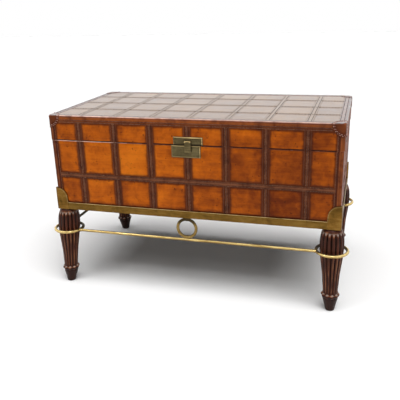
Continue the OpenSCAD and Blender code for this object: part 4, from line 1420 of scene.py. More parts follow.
class TrunkLid:
    """The lid: padded panels on walls and top, straps, rim band, corner caps, lining."""

    def __init__(self, palette: Palette) -> None:
        """Takes the finishes."""
        self.palette = palette
        self.outline = Outline(S.lid_length - 2 * S.trim, S.lid_depth - 2 * S.trim,
                               S.corner - S.trim)
        self.low = S.seam + S.seam_gap
        self.face_x = self.outline.length / 2
        self.face_y = self.outline.depth / 2
        self.leather_top = S.top - S.trim
        self.threads = Threadwork()
        self.top_threads = Threadwork()
        self.pale_threads = Threadwork()
        self.cap_threads = Threadwork()

    def panels(self) -> None:
        """Makes the panel leather of the walls and the top."""
        shell = Shell()
        walls = Covering(self.outline, self.low, self.leather_top - 3.0,
                         S.bays(S.strap_x, self.face_x + S.trim - S.binding),
                         S.bays(S.strap_y, self.face_y + S.trim - S.binding),
                         Bays(((self.low + 3.0, S.top - S.rim),)), lip_at=self.low + 1.6,
                         lip_out=0.8, seam_line=3.4, seed=1787)
        # Painted shade: the panels darken towards the right end; the far left bay is darker too.
        walls.add(shell, lambda x, z: 0.10 - 0.40 * ease(x, 60.0, 430.0)
                  - 0.16 * ease(-x, 300.0, 360.0))
        self.palette.lay("lid_wall_panels", shell, Finish.PANEL_LEATHER, Carrier.LID,
                         ["lid_leather"])
        shell = Shell()
        top_x = S.bays(S.strap_x, S.lid_length / 2 - S.rim)
        top_y = S.bays(S.strap_y, S.lid_depth / 2 - S.rim)
        xs = top_x.lines(-self.face_x + 6, self.face_x - 6)
        ys = top_y.lines(-self.face_y + 6, self.face_y - 6)
        (dx, ix), (dy, iy) = top_x.depth(xs), top_y.depth(ys)
        rise = np.outer(1 - (1 - np.minimum(dx / 0.8, 1)) ** 2,
                        1 - (1 - np.minimum(dy / 3, 1)) ** 2)
        x, y = np.meshgrid(xs, ys, indexing="ij")
        dice = np.random.default_rng(23).random((9, 5))
        hide_and_shade = 0.42 + (dice[ix[:, None], iy[None, :]] - 0.5) * 0.5
        tone = ease(np.minimum(dx[:, None] + 4.0, dy[None, :]), 0.0, 5.0)
        outer = np.stack([x, y, self.leather_top + 1.35 * rise], 2)
        inner = np.stack([x, y, np.full_like(x, self.leather_top - S.leather)], 2)
        shell.patch(outer, inner, tone, hide_and_shade)
        self.palette.lay("lid_top_panels", shell, Finish.PANEL_LEATHER, Carrier.LID,
                         special=self.palette.top_panel)

    def straps(self) -> None:
        """Makes the straps on the walls and the crossing straps on the top."""
        walls, across, along = Shell(), Shell(), Shell()
        high = S.top - S.rim + 1.0
        wall_straps(walls, self.face_x, self.face_y, self.low, high, self.threads)
        self.palette.lay("lid_wall_straps", walls, Finish.STRAP_LEATHER, Carrier.LID,
                         ["lid_straps_wall"])
        end_x, end_y = S.lid_length / 2 - S.rim + 1, S.lid_depth / 2 - S.rim + 1
        row_z, sunk = S.top - S.stitch_sink, 0.4
        section, tone = level_section(S.strap, S.trim, S.top_row)
        for x in S.strap_x:
            ys = np.linspace(-end_y, end_y, 30)
            across.sweep(section, [Station(flat(x, y, self.leather_top), flat(-1, 0, 0), UP)
                                   for y in ys], tone=tone)
            for side in (-1, 1):
                place = x + side * S.top_row
                self.top_threads.row([[place, y, row_z] for y in (3 - end_y, end_y - 3)])
        self.palette.lay("lid_straps_over", across, Finish.STRAP_LEATHER, Carrier.LID,
                         ["lid_straps_across"], self.palette.top_strap)
        section, tone = level_section(S.strap, S.trim - sunk, S.stitch_row)
        for y in S.strap_y:
            for start, end in S.bays(S.strap_x, end_x).spans:
                start, end = start - 0.2, end + 0.2
                xs = np.linspace(start, end, 8)
                along.sweep(section, [Station(flat(x, y, self.leather_top), flat(0, 1, 0), UP)
                                      for x in xs], tone=tone)
                for side, threads in ((-1, self.pale_threads), (1, self.top_threads)):
                    place = y + side * S.stitch_row
                    threads.row([[x, place, row_z - sunk] for x in (start + 2.5, end - 2.5)])
            for x in S.strap_x:
                self.top_threads.row([[x + side * (S.strap / 2 - 1.0), y + S.stitch_row, row_z]
                                      for side in (-1, 1)])
        self.palette.lay("lid_straps_along", along, Finish.STRAP_LEATHER, Carrier.LID,
                         ["lid_straps_lengthwise"], self.palette.top_strap)

    def rim(self) -> None:
        """Makes the band over the lid's upper edge: beaded, grooved and stitched."""
        width, e, top = S.rim, S.edge, S.top
        angles = np.radians(np.linspace(0, 90, 8))
        bead = e + 0.5
        low = [(-1.9, top - width, 0.0, 0.3), (-0.3, top - width, 0.2, 0.3),
               (0.05, top - width + 0.5, 0.3, 0.3), (0.1, top - width + 1.4, 0.1, 0.22),
               (-0.35, top - width + 1.9, 0.0, 0.1), (-0.35, top - width + 2.6, 0.0, 0.1),
               (0.0, top - width + 3.1, 0.1, 0.22), (0.1, top - 14.7, 0.1, 0.26),
               (-0.5, top - 14.0, 0.0, 0.0), (-0.5, top - 12.9, 0.0, 0.0),
               (0.15, top - 12.2, 0.3, 0.4), (0.3, top - 10.5, 0.2, 0.5),
               (0.2, top - e - 1.3, 0.3, 0.5), (-1.9, top - e - 1.3, 0.0, 0.5)]
        crown = [(-e + bead * math.cos(a), top - e + bead * math.sin(a)) for a in angles]
        ridge = [(0.2, top - e - 1.3)] + [c[:2] for c in crown] + [
            (-e - 1.4, top + 0.35), (-e - 1.9, top - 0.4), (-e - 1.9, top - 1.9),
            (-e - 0.5, top - 1.9), (-3.1, top - 3.1), (-1.7, top - e - 1.3)]
        flat_part = [(-e - 1.8, top - 1.9, 0.0), (-e - 1.8, top - 0.3, 0.0),
                     (-e - 2.4, top + 0.1, 0.1), (-e - 4.0, top + 0.1, 0.1),
                     (-e - 4.4, top - 0.4, 0.0), (-e - 5.2, top - 0.4, 0.0),
                     (-e - 5.6, top + 0.1, 0.1), (-width + 4.4, top + 0.1, 0.1),
                     (-width + 4.0, top - 0.4, 0.0), (-width + 3.2, top - 0.4, 0.0),
                     (-width + 2.8, top + 0.1, 0.1), (-width + 0.5, top + 0.05, 0.3),
                     (-width, top - 0.3, 0.0), (-width, top - 1.9, 0.0)]
        wall, level, bead_line = np.array(low), np.array(flat_part), np.array(ridge)
        crest = ease(bead_line[:, 1], top - 1.6, top - 0.4) * (bead_line[:, 0] > -e - 1.6)
        front, over, beads, long_beads = Shell(), Shell(), Shell(), Shell()
        half_x, half_y, under_cap = S.lid_length / 2, S.lid_depth / 2, 27.0
        runs = [(flat(0, s * half_y, 0), flat(0, s, 0), half_x - under_cap) for s in (-1, 1)]
        runs += [(flat(s * half_x, 0, 0), flat(s, 0, 0), half_y - under_cap) for s in (1, -1)]
        for at, out, reach in runs:
            way = np.cross(UP, out)
            upper = self.pale_threads if out[1] else self.top_threads
            rows = ((-0.25, top - 13.4, self.threads), (-0.15, top - width + 2.2, self.threads),
                    (-e - 4.8, top - 0.15, upper), (-width + 3.6, top - 0.15, upper))
            places = np.linspace(-reach, reach, max(8, round(reach / 12)))
            stations = [Station(at + way * p, out, UP) for p in places]
            # Painted shade: the rim darkens towards the right end.
            falloff_shade = 1.0 - 0.5 * ease(places * -out[1], -60.0, 400.0)[:, None]
            front.sweep(wall[:, :2], stations, tone=wall[:, 2], hide_and_shade=wall[:, 3] * falloff_shade)
            over.sweep(level[:, :2], stations, tone=level[:, 2])
            if out[1] < 0:
                # Painted highlight: the front bead's crest is lighter, most towards the left end.
                rub_and_highlight = np.outer(0.6 + 0.4 * ease(-places, 190.0, 360.0), crest)
                long_beads.sweep(bead_line, stations, tone=rub_and_highlight, hide_and_shade=0.5 * falloff_shade)
            else:
                (long_beads if out[1] > 0 else beads).sweep(bead_line, stations, hide_and_shade=0.1)
            for across, height, threads in rows:
                threads.row([at + UP * height + way * p + out * across
                             for p in (12 - reach, reach - 12)])
        self.palette.lay("lid_rim", front, Finish.BINDING_LEATHER, Carrier.LID, ["lid_rim_band"])
        for name, shell, leather in (("lid_rim_top", over, self.palette.top_binding),
                                     ("lid_rim_end_beads", beads, self.palette.top_binding),
                                     ("lid_rim_long_beads", long_beads,
                                      self.palette.crown_binding)):
            self.palette.lay(name, shell, Finish.BINDING_LEATHER, Carrier.LID, special=leather)

    @staticmethod
    def shape(points: Array) -> Array:
        """Returns how far points lie outside the lid's trim surface, below 0 inside it."""
        half = np.array([S.lid_length / 2 - S.corner, S.lid_depth / 2 - S.corner])
        away = np.abs(points[..., :2]) - half
        level = (np.linalg.norm(np.maximum(away, 0), axis=-1)
                 + np.minimum(away.max(-1), 0) - S.corner)
        rise = points[..., 2] - S.top
        pair = np.stack([level + S.edge, rise + S.edge], -1)
        return (np.linalg.norm(np.maximum(pair, 0), axis=-1)
                + np.minimum(pair.max(-1), 0) - S.edge)

    def reach_out(self, start: Array, ways: Array, height: Array) -> Array:
        """Finds where rays from inside the lid come to a height over its surface."""
        low, high = np.zeros(ways.shape[:-1]), np.full(ways.shape[:-1], 120.0)
        for _ in range(34):
            middle = (low + high) / 2
            inside = self.shape(start + ways * middle[..., None]) < height
            low, high = np.where(inside, middle, low), np.where(inside, high, middle)
        return start + ways * low[..., None]

    def caps(self) -> None:
        """Makes the four stitched corner caps, each with a raised edge."""
        turns, cap = [step / 32 * math.pi / 2 for step in range(32)], S.cap
        shares = np.array([0.02, 0.2, 0.4, 0.55, 0.66, 0.72, 0.75, 0.78, 0.81, 0.85, 0.865,
                           0.885, 0.905, 0.925, 0.95, 0.975, 0.99, 1.0])
        heights = np.interp(shares, [0, 0.72, 0.75, 0.78, 0.81, 0.85, 0.865, 0.885, 0.905, 0.93,
                                     0.96, 0.985, 1.0],
                            [0.9, 1.0, 0.5, 0.5, 1.0, 1.0, 0.5, 0.5, 1.1, 1.9, 1.9, 1.1,
                             -0.1])
        wear_and_light = np.interp(shares, [0, 0.3, 0.7, 0.9, 0.95, 1.0], [0.2, 0.1, 0.0, 0.0, 0.3, 0.0])
        hide_and_shade = np.interp(shares, [0, 0.6, 0.74, 0.9, 0.93, 0.96, 0.98],
                         [0.2, 0.2, 0.14, 0.08, 0.2, 0.2, 0.0])
        tails = Shell()
        corner_wraps(tails, self.outline, self.low, S.top - cap + 5.0, self.threads)
        self.palette.lay("lid_corner_wraps", tails, Finish.BINDING_LEATHER, Carrier.LID)
        for label, side_y, node in (("front", -1, "lid_caps_front"), ("back", 1, "lid_caps_back")):
            shell, polished = Shell(), Shell()
            for side_x in (-1, 1):
                tip = flat(side_x * S.lid_length / 2, side_y * S.lid_depth / 2, S.top)
                start = tip + flat(-side_x * 45, -side_y * 45, -45)
                axes = [flat(-side_x, 0, 0), flat(0, -side_y, 0), flat(0, 0, -1)]
                ring = np.array([tip + cap * (one * math.cos(a) + other * math.sin(a))
                                 for one, other in zip(axes, axes[1:] + axes[:1])
                                 for a in turns])
                rim = (ring - start) / np.linalg.norm(ring - start, axis=1)[:, None]
                heart = (tip - start) / np.linalg.norm(tip - start)
                ways = heart + (rim - heart)[:, None, :] * shares[None, :, None]
                ways /= np.linalg.norm(ways, axis=2)[:, :, None]
                outer = self.reach_out(start, ways, np.broadcast_to(heights, ways.shape[:2]))
                inner = self.reach_out(start, ways, np.full(ways.shape[:2], -0.7))
                level = outer[:, :, 2] > S.top - 1.2
                level = level[:, :-1] & level[:, 1:] & np.roll(level, -1, 0)[:, :-1]
                level = np.concatenate([level, np.zeros((len(level), 1), bool)], 1)
                polished.patch(outer, inner, wear_and_light[None, :], hide_and_shade[None, :], True, level)
                shell.patch(outer, inner, wear_and_light[None, :], hide_and_shade[None, :], True, ~level)
                for share in (0.765, 0.875):
                    row = heart + (rim - heart) * share
                    row /= np.linalg.norm(row, axis=1)[:, None]
                    self.cap_threads.row(self.reach_out(start, row, np.full(len(row), 0.9)),
                                         closed=True)
            name = f"lid_corner_caps_{label}"
            self.palette.lay(name, shell, Finish.BINDING_LEATHER, Carrier.LID, [node])
            self.palette.lay(name + "_top", polished, Finish.BINDING_LEATHER, Carrier.LID,
                             special=self.palette.top_binding)

    def lining(self) -> None:
        """Makes the cloth inside the lid."""
        ceiling, low = S.top - 13.0, S.seam + 0.8
        cloth_lining("lid_lining_cloth", Outline(894.0, 450.0, 5.0), low, ceiling, ceiling,
                     self.palette, Carrier.LID, "lid_lining")

    def build(self) -> None:
        """Builds the whole lid."""
        self.panels()
        self.straps()
        self.rim()
        self.caps()
        self.lining()
        self.threads.make("lid_stitches", self.palette.thread, Carrier.LID)
        self.top_threads.make("lid_top_stitches", self.palette.top_thread, Carrier.LID, 2.0,
                              pitch=9.0, length=6.8)
        self.pale_threads.make("lid_top_pale_stitches", self.palette.pale_thread, Carrier.LID)
        self.cap_threads.make("lid_cap_stitches", self.palette.cap_thread, Carrier.LID, 1.8, 8.2,
                              3.4)


# Brasswork


@dataclass
class FootRail:
    """The angle rail and its four rounded corner plates."""

    palette: Palette
    reach: float = 42.0
    straight: float = 296.0
    cover: float = 1.5
    plate_corner: float = 7.0
    full: float = 2.4
    rail_corner: float = 17.0

    @staticmethod
    def around(out: float, radius: float) -> Outline:
        """Returns the outline that lies that far outside the body."""
        return Outline(S.lid_length - 2 * S.body_inset + 2 * out,
                       S.lid_depth - 2 * S.body_inset + 2 * out, radius)

    def rails(self) -> None:
        """Takes the sharpness off the four lengths of rail and adds a bead along their top edge,
        bright as rubbed brass and painted highlight.
        """
        for side in ("front", "back", "left", "right"):
            node = f"rail_{side}"
            settle(f"{node}_length", bevelled_copy(node, 0.7), self.palette[Finish.RAIL_BRASS],
                   Carrier.STAND, [node])
        shell = Shell()
        points, outs, _, _ = self.around(S.rail_metal, self.rail_corner).walk(
            np.linspace(-440, 440, 60), np.linspace(-220, 220, 30))
        # The bead's full tone paints it bright: rubbed brass and painted highlight.
        shell.sweep(round_section(0.8, 10), loop_stations(points, outs, S.rail_high - 0.5, -0.3),
                    closed=True, tone=1.0)
        self.palette.lay("rail_edge_bead", shell, Finish.RAIL_BRASS, Carrier.STAND)

    def plates(self) -> None:
        """Makes the corner plates: a little convex, with a rolled edge."""
        outline = self.around(S.rail_metal + self.cover, self.plate_corner)
        half_x, half_y = outline.length / 2, outline.depth / 2
        steps = np.concatenate([np.linspace(self.plate_corner + 0.1, self.reach - 3, 12),
                                self.reach - np.array([2.4, 1.8, 1.2, 0.6, 0.0])])
        lines = [np.array(sorted(s * (half - v) for s in (-1, 1) for v in steps))
                 for half in (half_x, half_y)]
        arc = 9
        points, outs, walls, _ = outline.walk(*lines, arc)
        names = ("front_right", "back_right", "back_left", "front_left")
        shares = np.concatenate([[0, 0.01, 0.03], np.linspace(0.08, 0.92, 20),
                                 [0.94, 0.955, 0.97, 0.98, 0.99, 1.0]])
        for name, run in zip(names, corner_runs(walls, len(steps), arc)):
            p, o = points[run], outs[run]
            ends = np.stack([half_x - np.abs(p[:, 0]), half_y - np.abs(p[:, 1])])
            a = np.clip(np.where(walls[run] < 0, ends.min(0), ends.max(0)), 0, self.reach)
            left = np.maximum(self.reach ** self.full - a ** self.full, 0.0)
            tops = self.straight + left ** (1 / self.full)
            z = S.rail_low + (tops - S.rail_low)[:, None] * shares[None, :]
            above = np.maximum(z - self.straight, 0.0)
            rho = (a[:, None] ** self.full + above ** self.full) ** (1 / self.full)
            inside = self.reach - rho
            roll = 0.55 * (ease(inside, 0.0, 0.8) - ease(inside, 1.8, 3.4))
            roll = roll * ease(z, S.rail_high - 6.0, S.rail_high + 6.0)
            edge = -0.9 * (1 - ease(inside, -0.2, 0.9)) - 0.8 * (1 - ease(z - S.rail_low, 0, 0.8))
            dome = 0.5 * ease(inside, 3.0, 22.0) * ease(z - S.rail_low, 0.0, 14.0)
            to_rail = self.around(S.rail_metal, self.rail_corner).gap(p, -o, 0.2)
            to_body = self.around(0.0, S.body_corner + S.trim).gap(p, -o, 0.2)
            back = np.where(z > S.rail_high + 0.2, to_body[:, None], to_rail[:, None])
            shell = Shell()
            # The rolled edge gets tone: rubbed brass and painted highlight.
            shell.patch(wall_grid(p, o, roll + edge + dome, z), wall_grid(p, o, -back, z),
                        roll * 0.5)
            node = f"corner_plate_{name}"
            self.palette.lay(f"{node}_rolled", shell, Finish.PLATE_BRASS, Carrier.STAND, [node],
                             crease=50.0)

    def build(self) -> None:
        """Builds rails and plates."""
        self.rails()
        self.plates()


@dataclass
class Stretchers:
    """Brass hoops round the legs, the rods between them and the two upright rings."""

    palette: Palette
    hoop_x: float = 437.9
    hoop_y: float = 221.3
    level: float = 190.0
    hoop: float = 46.5
    wire: float = 4.8
    rod: float = 4.6
    offset: float = 15.0
    ring: float = 30.2
    ring_x: float = -11.0
    ring_z: float = 228.8

    @staticmethod
    def wear_and_light(section: Array, bright: float) -> tuple[Array, Array]:
        """Returns a painted highlight and a painted shade round a wire's section: light round one
        upper side, dark on the opposite, lower side.

        Args:
            section: Its (across, out) points.
            bright: Angle on the section where the painted highlight is centred, in degrees.
        """
        apart = np.cos(np.arctan2(section[:, 1], section[:, 0]) - math.radians(bright))
        return ease(apart, 0.6, 0.98)[None, :], 0.4 * ease(-apart, -0.45, 0.4)[None, :]

    def piece(self, shell: Shell, node: str) -> None:
        """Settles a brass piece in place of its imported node."""
        self.palette.lay(f"{node}_brass", shell, Finish.ROD_BRASS, Carrier.STAND, [node],
                         crease=60.0)

    def hoops(self) -> None:
        """Makes the four hoops."""
        section = round_section(self.wire, 20)
        # A painted highlight on the upper outer side of the wire, painted shade underneath.
        rub_and_highlight, under = self.wear_and_light(section, 40.0)
        for name, (sx, sy) in CORNERS.items():
            shell = Shell()
            centre = flat(sx * self.hoop_x, sy * self.hoop_y, self.level)
            # Painted shade and reflection: each hoop is dulled dark on its inner, back side; only
            # its front keeps the painted highlight.
            stations, dull_and_shade = [], np.zeros((80, 1))
            for k in range(80):
                a = k / 80 * 2 * math.pi
                out = flat(math.cos(a), math.sin(a), 0)
                inward = -(sx * out[0] * 0.6 + sy * out[1] * 0.8)
                dull_and_shade[k] = 0.5 + 0.42 * float(ease(inward, 0.15, 0.8))
                stations.append(Station(centre + out * self.hoop, UP, out))
            shell.sweep(section, stations, closed=True, tone=rub_and_highlight * (dull_and_shade < 0.6),
                        hide_and_shade=np.minimum(dull_and_shade + under, 1.0))
            self.piece(shell, f"hoop_{name}")

    def run(self, node: str, start: Array, end: Array, dull_and_shade: float = 0.5) -> None:
        """Makes a rod between two hoops, thicker where it is brazed on."""
        shell = Shell()
        way = (end - start) / np.linalg.norm(end - start)
        length = float(np.linalg.norm(end - start))
        across = np.cross(way, UP)
        marks = [0, 2, 4, 6, 8, 11, 15, 22]
        places = marks + np.linspace(40, length - 40, 20).tolist() + [length - m for m in
                                                                      reversed(marks)]
        stations = []
        for place in places:
            gap = min(place, length - place)
            grow = 1.0 + 0.30 * math.exp(-((gap - 3.0) / 4.0) ** 2)
            stations.append(Station(start + way * place, across * grow, UP * grow))
        section = round_section(self.rod, 20)
        # A painted highlight on the upper side, painted shade underneath; the last argument darkens
        # the whole rod as painted shade.
        rub_and_highlight, under = self.wear_and_light(section, 55.0)
        shell.sweep(section, stations, tone=rub_and_highlight * (dull_and_shade < 0.6),
                    hide_and_shade=np.minimum(dull_and_shade + under, 1.0))
        self.piece(shell, node)

    def rods(self) -> None:
        """Makes the front, back, left and right rods."""
        chord = math.sqrt(self.hoop ** 2 - self.offset ** 2)
        x, y = self.hoop_x - chord - 1.0, self.hoop_y - chord - 1.0
        side_x, side_y = self.hoop_x + self.offset, self.hoop_y + self.offset
        z = self.level
        self.run("rod_front", flat(-x, -side_y, z), flat(x, -side_y, z))
        self.run("rod_back", flat(-x, side_y, z), flat(x, side_y, z))
        # The side rods under the trunk are painted dark as shade.
        self.run("rod_left", flat(-side_x, -y, z), flat(-side_x, y, z), 0.95)
        self.run("rod_right", flat(side_x, -y, z), flat(side_x, y, z), 0.95)

    def rings(self) -> None:
        """Makes the rings between the long rods and the rail, filled in at both joints."""
        for node, side, x in (("ring_front", -1, self.ring_x), ("ring_back", 1, -self.ring_x)):
            shell = Shell()
            centre = flat(x, side * (self.hoop_y + self.offset), self.ring_z)
            stations, dull_and_shade = [], np.zeros((72, 1))
            for k in range(72):
                a = k / 72 * 2 * math.pi
                # Painted shade: the ring is dulled all over, and most at its top under the rail.
                dull_and_shade[k] = 0.76 + 0.24 * float(ease(-math.cos(a), 0.35, 0.9))
                out = flat(math.sin(a), 0, -math.cos(a))
                joint = math.exp(-(min(a, 2 * math.pi - a) / 0.14) ** 2)
                joint += math.exp(-((a - math.pi) / 0.14) ** 2)
                grow = 1.0 + 0.22 * joint
                at = centre + out * self.ring
                stations.append(Station(at, flat(0, 1, 0) * grow, out * grow))
            shell.sweep(round_section(self.wire, 20), stations, closed=True, hide_and_shade=dull_and_shade)
            points = shell.points[-1]
            points[:, 2] = np.minimum(points[:, 2], S.rail_low)
            self.piece(shell, node)

    def build(self) -> None:
        """Builds all the wirework."""
        self.hoops()
        self.rods()
        self.rings()


@dataclass
class Legs:
    """Four reeded, turned legs, each shaped by one Geometry Nodes rule."""

    palette: Palette
    bolt_x: float = 436.5
    bolt_y: float = 214.4
    length: float = 263.0
    radius: float = 36.5
    lean_x: float = 1.1
    lean_y: float = 5.4
    reeds: int = 16
    reed_depth: float = 0.105
    collar: float = 21.2
    collar_wire: float = 6.4
    collar_z: float = 50.0

    PROFILE = ((0.000, 0.335), (0.006, 0.385), (0.018, 0.415), (0.053, 0.462), (0.106, 0.560),
               (0.167, 0.640), (0.213, 0.620), (0.327, 0.668), (0.426, 0.722), (0.510, 0.795),
               (0.605, 0.888), (0.700, 0.962), (0.791, 1.000), (0.871, 0.980), (0.922, 0.915),
               (0.964, 0.811), (0.985, 0.730), (1.000, 0.640))

    def rule(self) -> Pattern:
        """Builds the rule: a turned profile with convex reeds, and a lobed collar.

        Returns:
            The tree, with the leg's sizes as its inputs.
        """
        p = Pattern("reeded leg", length=float, radius=float, reeds=float, depth=float,
                    collar=float, wire=float, height=float, material=bpy.types.Material)
        around, along = 16 * 12 + 1, 132
        place = p.node("ShaderNodeSeparateXYZ", {
            "Vector": p.node("GeometryNodeInputPosition").outputs[0]}).outputs
        turn = p.sum("ADD", place[0], 0.5)
        share = p.sum("ADD", place[1], 0.5)
        angle = p.times(turn, 2 * math.pi)
        step = 1.0 / (along - 1)
        rise = p.node("ShaderNodeMapRange", {
            "Value": share, "From Min": step, "From Max": 1.0 - step}).outputs[0]
        solid = p.times(p.sum("GREATER_THAN", share, step / 2),
                        p.sum("LESS_THAN", share, 1.0 - step / 2))
        curve = p.node("ShaderNodeFloatCurve", {"Value": rise})
        line = curve.mapping.curves[0]
        while len(line.points) < len(self.PROFILE):
            line.points.new(0.5, 0.5)
        for point, (x, y) in zip(line.points, self.PROFILE):
            point.location = (x, y)
            point.handle_type = "AUTO"
        curve.mapping.update()
        girth = p.times(curve.outputs[0], p.inputs["radius"])
        part = p.sum("FRACT", p.times(turn, p.inputs["reeds"]))
        from_crest = p.sum("ABSOLUTE", p.weigh(part, 2.0, -1.0))
        arch = p.sum("SQRT", p.sum("SUBTRACT", 1.0, p.sum(
            "POWER", p.times(from_crest, 0.965), 2.0)))
        valley = p.sum("SUBTRACT", 1.0, arch)
        rounded = p.times(p.sum("POWER", from_crest, 2.0), 0.028)
        top = p.sum("SUBTRACT", 0.972, rounded)
        upper = p.sum("SUBTRACT", 1.0, p.band(p.sum("SUBTRACT", rise, top), -0.012, 0.006))
        lower = p.band(rise, 0.205, 0.235)
        cut = p.times(upper, lower, valley)
        inset = p.times(cut, p.inputs["depth"], girth)
        distance = p.times(p.sum("SUBTRACT", girth, inset), solid)
        east, north = p.sum("COSINE", angle), p.sum("SINE", angle)
        spot = p.vector(p.times(distance, east), p.times(distance, north),
                        p.times(rise, p.inputs["length"]))
        # Tone for the finish: low in the valleys, darker on the foot, darker on the shoulder under
        # the rail as painted shade, and above 1 for a painted highlight on the shoulder's top.
        crest = p.sum("SUBTRACT", 1.0, p.times(cut, 1.35))
        worn_and_lit = p.times(p.band(rise, 0.19, 0.25, 0.42, 1.0), p.band(rise, 0.70, 0.92, 1.0, 0.6))
        gleam = p.times(p.band(rise, 0.90, 0.945, 0.0, 0.8),
                        p.band(rise, 0.95, 0.985, 1.0, 0.0))
        crest = p.times(crest, p.sum("ADD", worn_and_lit, gleam))
        body = self.skin(p, around, along, crest, spot)
        tube = p.times(share, 2 * math.pi)
        lobes = p.sum("COSINE", p.times(angle, 10.0))
        twist = p.sum("SINE", p.sum("ADD", tube, p.times(angle, 10.0)))
        wire = p.times(p.inputs["wire"], p.weigh(lobes, 0.10, 0.96))
        reach = p.sum("ADD", p.inputs["collar"], p.times(wire, p.sum("COSINE", tube)))
        lift = p.times(wire, p.sum("SINE", tube), 0.92)
        lift = p.sum("ADD", lift, p.times(twist, 0.12, wire))
        lip = p.vector(p.times(reach, east), p.times(reach, north),
                       p.sum("ADD", p.inputs["height"], lift))
        # Painted highlight on the collar's lobes and its upper side.
        shine = p.weigh(lobes, 0.3, 0.45)
        shine = p.sum("ADD", shine, p.band(p.sum("SINE", tube), 0.0, 0.85, 0.0, 0.8))
        joined = p.node("GeometryNodeJoinGeometry")
        for closed in (body, self.skin(p, 161, 19, shine, lip)):
            p.tree.links.new(closed, joined.inputs[0])
        p.end(joined.outputs[0])
        return p

    @staticmethod
    def skin(p: Pattern, columns: int, rows: int, tone: bpy.types.NodeSocket,
             place: bpy.types.NodeSocket) -> bpy.types.NodeSocket:
        """Returns a grid that is laid to its place and closed, with the tone the finish reads."""
        grid = p.node("GeometryNodeMeshGrid", {
            "Size X": 1.0, "Size Y": 1.0, "Vertices X": columns, "Vertices Y": rows}).outputs[0]
        marked = p.node("GeometryNodeStoreNamedAttribute", {
            "Geometry": grid, "Name": "tone", "Value": tone},
            data_type="FLOAT", domain="POINT").outputs[0]
        laid = p.node("GeometryNodeSetPosition", {
            "Geometry": marked, "Position": place}).outputs[0]
        return p.node("GeometryNodeMergeByDistance", {
            "Geometry": laid, "Distance": 1e-6}).outputs[0]

    def build(self) -> None:
        """Builds the four legs and leans each one outwards."""
        rule = self.rule()
        for name, (sx, sy) in CORNERS.items():
            mesh = rule.run(f"leg_{name}", bpy.data.meshes.new("leg"), length=self.length * MM,
                            radius=self.radius * MM, reeds=float(self.reeds),
                            depth=self.reed_depth * 2.0, collar=self.collar * MM,
                            wire=self.collar_wire * MM, height=self.collar_z * MM,
                            material=self.palette[Finish.LEG_WOOD])
            slope_x = -sx * math.tan(math.radians(self.lean_x))
            slope_y = -sy * math.tan(math.radians(self.lean_y))
            lean = Matrix(((1, 0, slope_x, 0), (0, 1, slope_y, 0), (0, 0, 1, 0), (0, 0, 0, 1)))
            foot = Vector((sx * self.bolt_x - slope_x * self.length,
                           sy * self.bolt_y - slope_y * self.length, 0)) * MM
            mesh.transform(Matrix.Translation(foot) @ lean)
            with opened(mesh):
                pass  # Leaving the block turns all faces outward.
            settle(f"leg_{name}_reeded", mesh, self.palette[Finish.LEG_WOOD],
                   Carrier.STAND, [f"leg_{name}"], crease=60.0)


